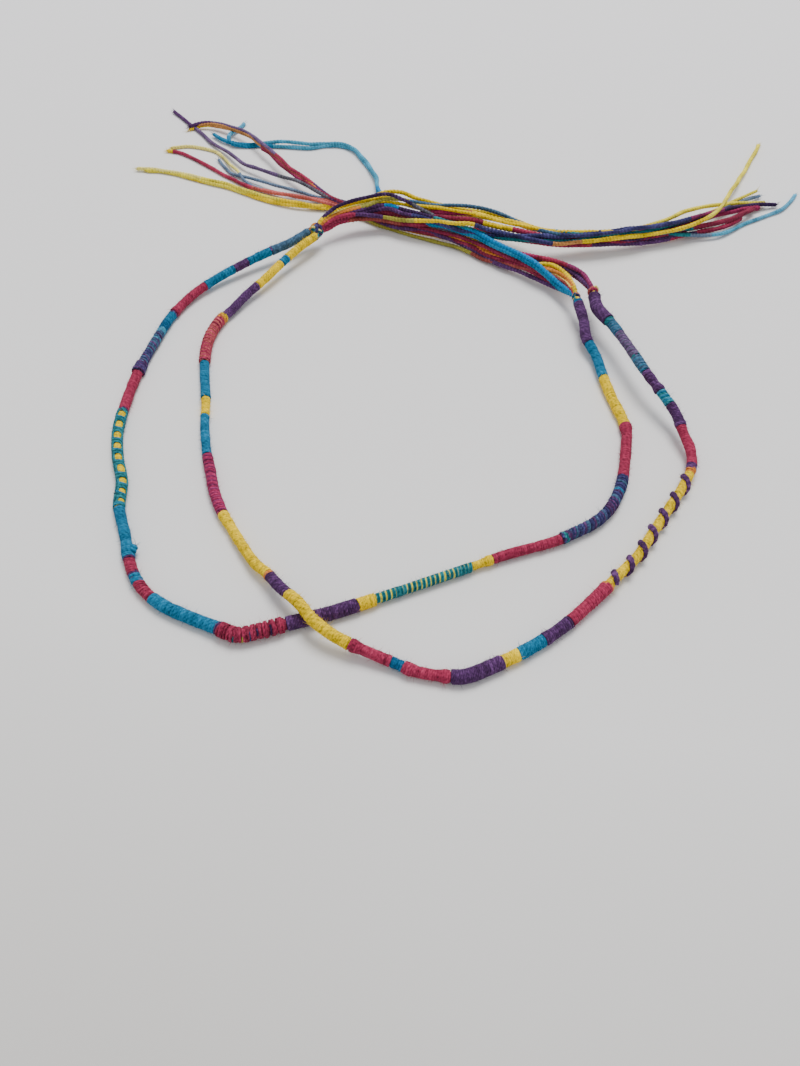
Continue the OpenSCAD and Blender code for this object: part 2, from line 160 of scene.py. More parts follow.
OUTER_ROUTE = [
    [-15.2, 40.6, 2.7], [-18, 38, 2.4], [-22, 35.5, 2], [-26, 32.5, 1.6], [-29.5, 29.5, 1.2],
    [-32.5, 26, 0.9], [-35, 21, 0.7], [-36.5, 14.5, 0.7], [-37.5, 9, 0.7], [-38, 3, 0.7],
    [-38, -3.5, 0.7], [-37, -8.5, 0.7], [-35.5, -13, 0.7], [-35, -17, 0.7], [-33.5, -21, 0.7],
    [-31.5, -26.5, 0.7], [-29.5, -29.5, 0.7], [-27, -31.5, 0.7], [-24, -33, 0.7], [-20.5, -34.5, 0.8],
    [-18, -35.5, 0.9], [-15.5, -35, 0.9], [-12.5, -34, 0.8], [-7.5, -32.5, 0.7], [-1, -30, 0.7],
    [6.5, -27, 0.7], [12.5, -24.5, 0.7], [18.5, -22.5, 0.7], [21.5, -21, 0.7], [24, -19.5, 0.7],
    [26, -17.5, 0.7], [27.5, -15, 0.7], [28.5, -12.5, 0.7], [30, -6.5, 0.7], [30.5, -3, 0.7],
    [29.5, 3, 0.7], [29, 6.5, 0.9], [28.5, 11, 1.2], [27.5, 14.5, 1.7], [27.5, 18, 2.2],
    [27, 22, 2.8],
]
INNER_ROUTE = [
    [-14, 39.7, 2.5], [-16.5, 36.5, 2.4], [-19, 33, 2], [-21.5, 29, 1.6], [-24, 25.5, 1.2],
    [-26, 22, 0.9], [-27.5, 19.5, 0.8], [-28.5, 15.5, 0.8], [-28.5, 11.5, 0.7], [-28, 7.5, 0.7],
    [-27, 2, 0.7], [-26.5, -2.5, 0.7], [-25.5, -7.5, 0.7], [-24.5, -11, 0.7], [-23.5, -14.5, 0.7],
    [-22, -18, 0.7], [-20.5, -20.5, 0.7], [-19, -23, 0.8], [-17, -26, 1.1], [-15.5, -27.5, 1.4],
    [-13.5, -30, 1.9], [-11.5, -32, 2.3], [-9.5, -34.5, 2.3], [-7.5, -36, 1.9], [-5.5, -37, 1.5],
    [-3, -38, 1.1], [-0.5, -39, 0.8], [2, -40, 0.7], [5, -40.5, 0.7], [7, -40.5, 0.7],
    [9.5, -39.5, 0.7], [13.5, -37.5, 0.7], [18, -34.5, 0.7], [22.5, -30.5, 0.9], [25.5, -27.5, 1.06],
    [28, -25, 1.06], [30.5, -21.5, 1.06], [33, -18, 1.06], [35.5, -14.5, 1.06], [37.5, -11, 1.15],
    [38, -8, 1.4], [37.5, -5.5, 1.9], [37, -2.5, 2.5], [36, 0, 3], [34, 4.5, 3.7],
    [33, 8, 3.8], [31, 15, 3.7], [29.5, 19, 3.5], [29.5, 22.5, 3.4],
]
# Where the thick purple thread passes over the top of the inner strand
SPIRAL_TOPS = [123.3, 126.3, 129.2, 132.1, 135.2, 138.4, 142]

SHARED_KNOT = (-14, 41, 2.7)
OUTER_END_KNOT = (26.9, 22.8, 2.9)
INNER_END_KNOT = (29.4, 23.3, 3.4)

# Bare threads: the routes of the four bundles
UPPER_LEFT = [
    [-13.2, 41.9, 3.4], [-11, 44.5, 4.1], [-8, 46.5, 4.7], [-5, 47.5, 5.2], [-2, 48.5, 5.4],
    [0.5, 48, 5.3], [4, 46.5, 5], [9.5, 45.5, 4.6], [14.5, 44.5, 4.3], [18.5, 42.5, 4.1],
    [23, 39.5, 3.9], [28, 38.5, 3.7], [34, 39, 3.4], [40, 40.5, 3.2], [46.5, 43, 2.8], [52.5, 47, 2.2],
]
LOWER_LEFT = [
    [-13, 41.4, 2], [-10, 44, 2.5], [-7.5, 45.5, 3.1], [-4.5, 46.5, 3.4], [-1.5, 46.5, 3.5],
    [1.5, 45, 3.5], [6, 43.5, 3.5], [11, 41, 3.5], [15.5, 39, 3.5], [20.5, 38, 3.1],
    [26.5, 38, 2.1], [33, 39, 1.6], [40, 40, 1.3], [46.5, 42, 1.1], [51, 44, 0.9],
]
OUTER_RIGHT = [
    [26.7, 23.7, 3], [25.5, 27.5, 2.9], [24, 29.5, 2.8], [21.5, 31.5, 2.5], [18.5, 34, 2.2],
    [15, 36.5, 1.9], [11.5, 39.5, 1.6], [7, 42, 1.3], [2.5, 44, 1.1], [-1.5, 46, 0.9],
    [-5, 48, 0.8], [-8.5, 50.5, 0.8], [-11.5, 51.5, 0.9],
]
INNER_RIGHT = [
    [29.2, 24.2, 3.4], [28, 27.5, 3.4], [26, 30, 3.3], [23.5, 32.5, 2.9], [21, 35, 2.4],
    [17.5, 38, 1.9], [13.5, 41, 1.5], [9.5, 44, 1.3], [5, 46.5, 1.1], [1, 48.5, 1],
    [-2.5, 51, 1], [-6, 52.5, 1.1], [-9, 53.5, 1.3], [-11.5, 54, 1.6],
]
# The routes of the locks that they part into: at the left 0 to 3 of the upper bundle, 4 and 5 of the lower
LEFT_LOCKS = [
    [[50, 45.5, 2.4], [55, 48.5, 1.9], [62, 51.5, 1.2], [67, 53, 0.6]],
    [[42, 42.5, 3.1], [50, 48, 2.4], [58.5, 51.5, 1.6], [65, 53, 0.9]],
    [[44, 41, 3.4], [50, 43, 3.2], [54.5, 47, 2.8], [59, 55, 1.6], [65, 65.5, 0.6], [70, 74.5, 0.3]],
    [[50, 46, 2.2], [55.5, 49.5, 1.7], [61, 53.5, 1.2], [65, 56, 0.6]],
    [[46.5, 42, 1.1], [49, 43, 1], [56.5, 45.5, 0.8], [62.5, 50.5, 0.5]],
    [[46.5, 41.5, 1], [49, 41.5, 0.8], [54, 43, 0.6], [58.5, 46, 0.4], [62.5, 48.5, 0.3],
     [67.5, 51.5, 0.3], [71.5, 56.5, 0.3]],
]
# At the right 0 to 4 of the outer bundle, 5 and 6 of the inner one
RIGHT_LOCKS = [
    [[1, 45, 1.2], [-1, 47.5, 1.9], [-2.7, 51, 2.5], [-4, 55.5, 1.7], [-4.5, 61.5, 0.9],
     [-6.5, 67.5, 0.6], [-9.5, 73, 0.5], [-13, 74.5, 0.5], [-17, 73.5, 0.5], [-21.5, 74, 0.5],
     [-25.5, 74.5, 0.5], [-30, 74, 0.5], [-34.5, 76, 0.5], [-37, 78.5, 0.5]],
    [[-10, 51, 0.9], [-18.5, 52.5, 0.8], [-25.5, 55.5, 0.6], [-32, 59.5, 0.5], [-37, 61.5, 0.4],
     [-41, 63.5, 0.3], [-46, 65, 0.3], [-49.5, 65, 0.3]],
    [[-10, 51.3, 0.9], [-16, 54, 0.8], [-21, 56, 0.7], [-26, 58, 0.6], [-30, 61, 0.4],
     [-34, 64.5, 0.3], [-38, 68, 0.3], [-42, 71.5, 0.3], [-45, 72.5, 0.3]],
    [[-10, 51.5, 1], [-14.5, 53.5, 1.2], [-18.5, 56, 1.2], [-23.5, 59, 1], [-27.5, 61.5, 0.7],
     [-30.5, 63, 0.5], [-32.5, 65, 0.3], [-34.5, 69, 0.3]],
    [[-16, 54, 0.9], [-21, 56.5, 1.1], [-26, 59, 1.1], [-28.5, 61.5, 1], [-30.5, 64.5, 0.8],
     [-32.5, 67.5, 0.5], [-34.5, 71, 0.3], [-37.5, 73, 0.3], [-41.5, 74, 0.3], [-44.5, 73.5, 0.3]],
    [[-9, 53.5, 1.3], [-12, 54.5, 1.7], [-16.5, 58, 2.2], [-20.5, 62.5, 2.3], [-23, 66.5, 2.2],
     [-26, 71, 2], [-30, 76.5, 1.7], [-35, 80.5, 1.2], [-39, 82, 0.9], [-42, 81, 0.6]],
    [[-9, 53.3, 1.3], [-14.5, 55.5, 1.8], [-18.5, 58.5, 1.7], [-22.5, 61, 1.5], [-26.5, 64, 1.3],
     [-30.5, 67.5, 1], [-33.5, 71.5, 0.8], [-36.5, 75, 0.5], [-39.5, 79.5, 0.3], [-46.5, 88.5, 0.3]],
]
# And 7, the light blue thread's own: as lock 0, and then back over it to its raised end
RIGHT_LOCKS.append(RIGHT_LOCKS[0][:12] + [
    [-33, 75, 0.6], [-33.7, 77.3, 0.8], [-32.7, 80, 0.6], [-31.2, 83.4, 0.4],
])

# Fine sizes of the cotton
TURN_WIDTH = 0.32
TURN_THICKNESS = 0.15
TURN_PITCH = 0.25
FINE_WIDTH = 0.22
FINE_THICKNESS = 0.13
FINE_PITCH = 0.18
TURN_STEPS = 14
TURN_SIDES = 6
CORE_SIDES = 12
FIBRE_RADIUS = 0.022
CURVE_STEPS = 10
# How far single turns stand proud or sink, how uneven a wrap is, and the same for turns under others
TURN_RISE = 0.012
PLAIN_LUMPS = 0.02
UNDER_LUMPS = 0.015


def unit(v):
    return v / np.linalg.norm(v, axis=-1, keepdims=True)


def smooth(route, steps=CURVE_STEPS):
    """The smooth curve through a route's points, with the heading at each along its neighbours."""
    p = np.array(route, dtype=float)
    span = np.linalg.norm(np.diff(p, axis=0), axis=1)
    head = np.empty_like(p)
    head[0] = (p[1] - p[0]) / span[0]
    head[-1] = (p[-1] - p[-2]) / span[-1]
    head[1:-1] = (p[2:] - p[:-2]) / (span[1:] + span[:-1])[:, None]
    t = (np.arange(steps) / steps)[None, :, None]
    a, b = p[:-1, None], p[1:, None]
    ha, hb = head[:-1, None] * span[:, None, None], head[1:, None] * span[:, None, None]
    curve = ((2 * t**3 - 3 * t**2 + 1) * a + (t**3 - 2 * t**2 + t) * ha
             + (3 * t**2 - 2 * t**3) * b + (t**3 - t**2) * hb)
    return np.vstack([curve.reshape(-1, 3), p[-1:]])


class Line:
    """A smooth centre line that is looked up by distance along it."""

    REACH = 0.4

    def __init__(self, points):
        self.points = points
        steps = np.linalg.norm(np.diff(points, axis=0), axis=1)
        self.marks = np.concatenate([[0.0], np.cumsum(steps)])
        self.length = self.marks[-1]

    def at(self, s):
        return np.stack([np.interp(s, self.marks, self.points[:, k]) for k in range(3)], axis=-1)

    def frames(self, s):
        """Directions along, to the side and to the top of the line at each distance."""
        ahead = self.at(np.minimum(s + self.REACH, self.length))
        behind = self.at(np.maximum(s - self.REACH, 0))
        along = unit(ahead - behind)
        side = unit(np.cross(along, UP))
        return along, side, np.cross(side, along)


def wander(rng, count, at):
    """Random values, one per step, joined into a smooth run and read at the given places."""
    return np.interp(at, np.linspace(at.min(), at.max(), count), rng.normal(size=count))


def shades(rng, count, at, swing, middle=0.5):
    """The tone along a thread, from 0 for dark over 0.5 for the cotton's own colour to 1 for light."""
    return np.clip(middle + swing * wander(rng, count, at), 0, 1)


def two_ply(marks, sides, pitch, full, dip):
    """Share of the half thickness round a thread: two lobes that turn round each other along it."""
    ring = FULL_TURN * np.arange(sides) / sides
    return full - dip * np.sin(ring[None, :] - (FULL_TURN * marks / pitch)[:, None]) ** 2


def square(out, run):
    """Outward directions, made square to the way that the thread runs."""
    return unit(out - run * np.sum(out * run, axis=1, keepdims=True))


def lifted(line, s, floor):
    """Points along a line, none lower than the floor."""
    centre = line.at(s)
    centre[:, 2] = np.maximum(centre[:, 2], floor)
    return centre


def around(line, s, angle, radius, floor=0.0):
    """A path round a line, with its directions outward and forward."""
    _, side, top = line.frames(s)
    out = side * np.cos(angle)[:, None] + top * np.sin(angle)[:, None]
    path = lifted(line, s, floor) + out * np.reshape(radius, (-1, 1))
    return path, out, unit(np.gradient(path, axis=0))


def add_object(name, data):
    made = bpy.data.objects.new(name, data)
    bpy.context.scene.collection.objects.link(made)
    return made


MATERIALS = {}
# The cotton's surface: how its fibres are stretched along a thread, how fine its patches and specks are,
# how its twist slants, and how deep they go, in metres
FIBRE_STRETCH = (2.6, 9, 1)
PATCH_SCALE = 380.0
SPECK_SCALE = 4200.0
TWIST_SLANT = 1.7
BUMP_DEPTH = 0.00005


def linear(colour):
    """sRGB numbers from 0 to 255 as linear light."""
    share = np.array(colour) / 255
    return np.where(share <= 0.04045, share / 12.92, ((share + 0.055) / 1.055) ** 2.4)


def link(tree, *ends):
    for source, target in ends:
        tree.links.new(source, target)


def number(tree, operation, a, b, c=None):
    """A Math node whose inputs are sockets or numbers."""
    made = tree.nodes.new("ShaderNodeMath")
    made.operation = operation
    for socket, value in zip(made.inputs, (a, b, c)):
        if value is None:
            continue
        if isinstance(value, (int, float)):
            socket.default_value = value
        else:
            tree.links.new(value, socket)
    return made.outputs[0]


def noise(tree, vector, scale, detail):
    made = tree.nodes.new("ShaderNodeTexNoise")
    made.inputs["Scale"].default_value = scale
    made.inputs["Detail"].default_value = detail
    link(tree, (vector, made.inputs["Vector"]))
    return made.outputs["Fac"]


def ramp(tree, amount, colours, middle, shader):
    """Gives a shader one of three colours, blended by an amount from 0 to 1."""
    made = tree.nodes.new("ShaderNodeValToRGB")
    made.color_ramp.elements.new(0.5)
    for element, colour in zip(made.color_ramp.elements, colours):
        element.color = (*colour, 1)
    made.color_ramp.elements[1].position = middle
    link(tree, (amount, made.inputs["Fac"]), (made.outputs["Color"], shader.inputs["Base Color"]))


def new_material(name, settings):
    """A material with its main shader set, its node tree and that shader."""
    material = bpy.data.materials.new(name)
    material.use_nodes = True
    shader = material.node_tree.nodes["Principled BSDF"]
    for key, value in settings.items():
        shader.inputs[key].default_value = value
    return material, material.node_tree, shader


def cotton(name):
    """Spun cotton: every turn has its own tone, with fibres along it, a twist that is both bumped and
    painted as light and shade along the ply, and a soft sheen.
    """
    if name in MATERIALS:
        return MATERIALS[name]
    base = linear(COLOURS[name])
    tint = (*(0.35 + 0.65 * base / base.max()), 1)
    material, tree, shader = new_material("cotton_" + name, {
        "Roughness": 0.8, "Specular IOR Level": 0.22, "Specular Tint": tint, "Sheen Tint": tint,
        "Sheen Weight": 0.1, "Sheen Roughness": 0.4,
    })
    thread = tree.nodes.new("ShaderNodeUVMap")
    thread.uv_map = "thread"
    stretched = tree.nodes.new("ShaderNodeMapping")
    stretched.inputs["Scale"].default_value = FIBRE_STRETCH
    link(tree, (thread.outputs["UV"], stretched.inputs["Vector"]))
    place = tree.nodes.new("ShaderNodeTexCoord")
    fibres = noise(tree, stretched.outputs["Vector"], 1.0, 3.0)
    patches = noise(tree, place.outputs["Object"], PATCH_SCALE, 2.0)
    specks = noise(tree, place.outputs["Object"], SPECK_SCALE, 2.0)

    parts = tree.nodes.new("ShaderNodeSeparateXYZ")
    link(tree, (thread.outputs["UV"], parts.inputs["Vector"]))
    twist = number(tree, "MULTIPLY_ADD", parts.outputs["X"], TWIST_SLANT, parts.outputs["Y"])
    twist_bump_and_shade = number(tree, "SINE", number(tree, "MULTIPLY", twist, FULL_TURN), 0.0)

    tone = tree.nodes.new("ShaderNodeAttribute")
    tone.attribute_name = "tone"
    amount = number(tree, "MULTIPLY_ADD", tone.outputs["Fac"], 0.6, 0.2)
    for source, weight in ((fibres, 0.9), (patches, 0.45), (specks, 1.1)):
        amount = number(tree, "MULTIPLY_ADD", number(tree, "SUBTRACT", source, 0.5), weight, amount)
    # Painted highlight and shade: the twist's wave also lightens and darkens the colour along the ply,
    # where its lobes would catch the light
    amount = number(tree, "MULTIPLY_ADD", twist_bump_and_shade, 0.13, amount)
    light = base * 1.25 + 0.12 * (0.1 + 0.9 * base / base.max())
    ramp(tree, amount, (base * 0.4, base, light), 0.5, shader)

    height = number(tree, "MULTIPLY_ADD", twist_bump_and_shade, 0.3, fibres)
    height = number(tree, "ADD", height, specks)
    bump = tree.nodes.new("ShaderNodeBump")
    bump.inputs["Strength"].default_value = 0.7
    bump.inputs["Distance"].default_value = BUMP_DEPTH
    link(tree, (height, bump.inputs["Height"]), (bump.outputs["Normal"], shader.inputs["Normal"]))
    MATERIALS[name] = material
    return material


class Skin:
    """Collects swept threads and joins them into one mesh."""

    HAIR_STEPS = 4
    HAIR_CURL = 0.45
    HAIR_LOWEST = 0.03

    def __init__(self):
        self.points = []
        self.quads = []
        self.quad_mats = []
        self.quad_uvs = []
        self.caps = []
        self.cap_mats = []
        self.tones = []
        self.count = 0
        self.names = []

    def index(self, colour):
        if colour not in self.names:
            self.names.append(colour)
        return self.names.index(colour)

    def tube(self, centres, out, run, half_out, half_wide, sides, colour, tone, shape=None):
        """A closed tube; out points from the tube's inner side to its outer side."""
        n = len(centres)
        wide = unit(np.cross(out, run))
        angle = FULL_TURN * np.arange(sides) / sides
        shape = np.ones((n, sides)) if shape is None else shape
        across = (np.cos(angle) * shape * np.broadcast_to(half_out, (n,))[:, None])[:, :, None]
        beside = (np.sin(angle) * shape * np.broadcast_to(half_wide, (n,))[:, None])[:, :, None]
        ring = centres[:, None] + out[:, None] * across + wide[:, None] * beside
        self.points.append(ring.reshape(-1, 3))
        self.tones.append(np.repeat(np.broadcast_to(tone, (n,)), sides))

        i = np.arange(n - 1)[:, None]
        k = np.arange(sides)[None, :]
        after = (k + 1) % sides
        corners = [i * sides + k, (i + 1) * sides + k, (i + 1) * sides + after, i * sides + after]
        self.quads.append(np.stack(corners, axis=-1).reshape(-1, 4) + self.count)
        marks = Line(centres).marks
        u0, u1 = marks[:-1, None], marks[1:, None]
        v0, v1 = k / sides, (k + 1) / sides
        loops = np.stack(np.broadcast_arrays(u0, v0, u1, v0, u1, v1, u0, v1), axis=-1)
        self.quad_uvs.append(loops.reshape(-1))
        if isinstance(colour, str):
            mats = np.full(n - 1, self.index(colour))
        else:
            mats = np.array([self.index(c) for c in colour])[: n - 1]
        self.quad_mats.append(np.repeat(mats, sides))
        self.caps.append([self.count + j for j in range(sides)][::-1])
        self.caps.append([self.count + (n - 1) * sides + j for j in range(sides)])
        self.cap_mats += [int(mats[0]), int(mats[-1])]
        self.count += n * sides

    def hairs(self, roots, ways, lengths, radius, colours, rng, tone=0.8):
        """Many fine loose fibres, each a curved three-sided spike."""
        count = len(roots)
        if count == 0:
            return
        steps = self.HAIR_STEPS
        t = np.linspace(0, 1, steps + 1)
        curl = unit(rng.normal(size=(count, 3)))
        path = (roots[:, None] + ways[:, None] * (t * lengths[:, None])[:, :, None]
                + curl[:, None] * (self.HAIR_CURL * t**2 * lengths[:, None])[:, :, None])
        path[:, :, 2] = np.maximum(path[:, :, 2], self.HAIR_LOWEST)
        out = unit(np.cross(ways, curl))
        wide = unit(np.cross(out, ways))
        angle = FULL_TURN * np.arange(3) / 3
        size = radius * (1.05 - t)[None, :, None, None]
        ring = (path[:, :, None] + out[:, None, None] * (np.cos(angle)[:, None] * size)
                + wide[:, None, None] * (np.sin(angle)[:, None] * size))
        self.points.append(ring.reshape(-1, 3))
        self.tones.append(np.full(count * (steps + 1) * 3, tone))
        h = (np.arange(count) * (steps + 1) * 3)[:, None, None]
        i = (np.arange(steps) * 3)[None, :, None]
        k = np.arange(3)[None, None, :]
        after = (k + 1) % 3
        quad = np.stack([h + i + k, h + i + 3 + k, h + i + 3 + after, h + i + after], axis=-1)
        self.quads.append(quad.reshape(-1, 4) + self.count)
        self.quad_uvs.append(np.zeros(len(self.quads[-1]) * 8))
        mats = np.array([self.index(c) for c in colours])
        self.quad_mats.append(np.repeat(mats, steps * 3))
        self.count += count * (steps + 1) * 3

    def piece(self, name, node, slot):
        points = np.concatenate(self.points)
        points[:, 2] = np.maximum(points[:, 2], 0.0)
        quads = np.concatenate(self.quads)
        mesh = bpy.data.meshes.new(name)
        mesh.from_pydata((points * MM).tolist(), [], quads.tolist() + self.caps)
        for colour in self.names:
            mesh.materials.append(cotton(colour))
        mats = np.concatenate(self.quad_mats + [np.array(self.cap_mats, dtype=int)])
        mesh.polygons.foreach_set("material_index", mats.astype(np.int32))
        uvs = np.concatenate(self.quad_uvs + [np.zeros(2 * sum(len(c) for c in self.caps))])
        layer = mesh.uv_layers.new(name="thread")
        layer.data.foreach_set("uv", uvs.astype(np.float32))
        tone = mesh.attributes.new("tone", "FLOAT", "POINT")
        tone.data.foreach_set("value", np.concatenate(self.tones).astype(np.float32))
        mesh.shade_smooth()
        made = add_object(name, mesh)
        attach(made, "root")
        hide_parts(node)
        return made


def make_camera():
    data = bpy.data.cameras.new("camera")
    data.sensor_fit = "AUTO"
    data.sensor_width = CAMERA_SENSOR
    data.lens = CAMERA_LENS
    data.clip_start = CAMERA_NEAREST
    made = add_object("camera", data)
    made.location = [MM * c for c in CAMERA_PLACE]
    made.rotation_euler = (math.radians(90 - CAMERA_PITCH), 0, 0)
    bpy.context.scene.camera = made


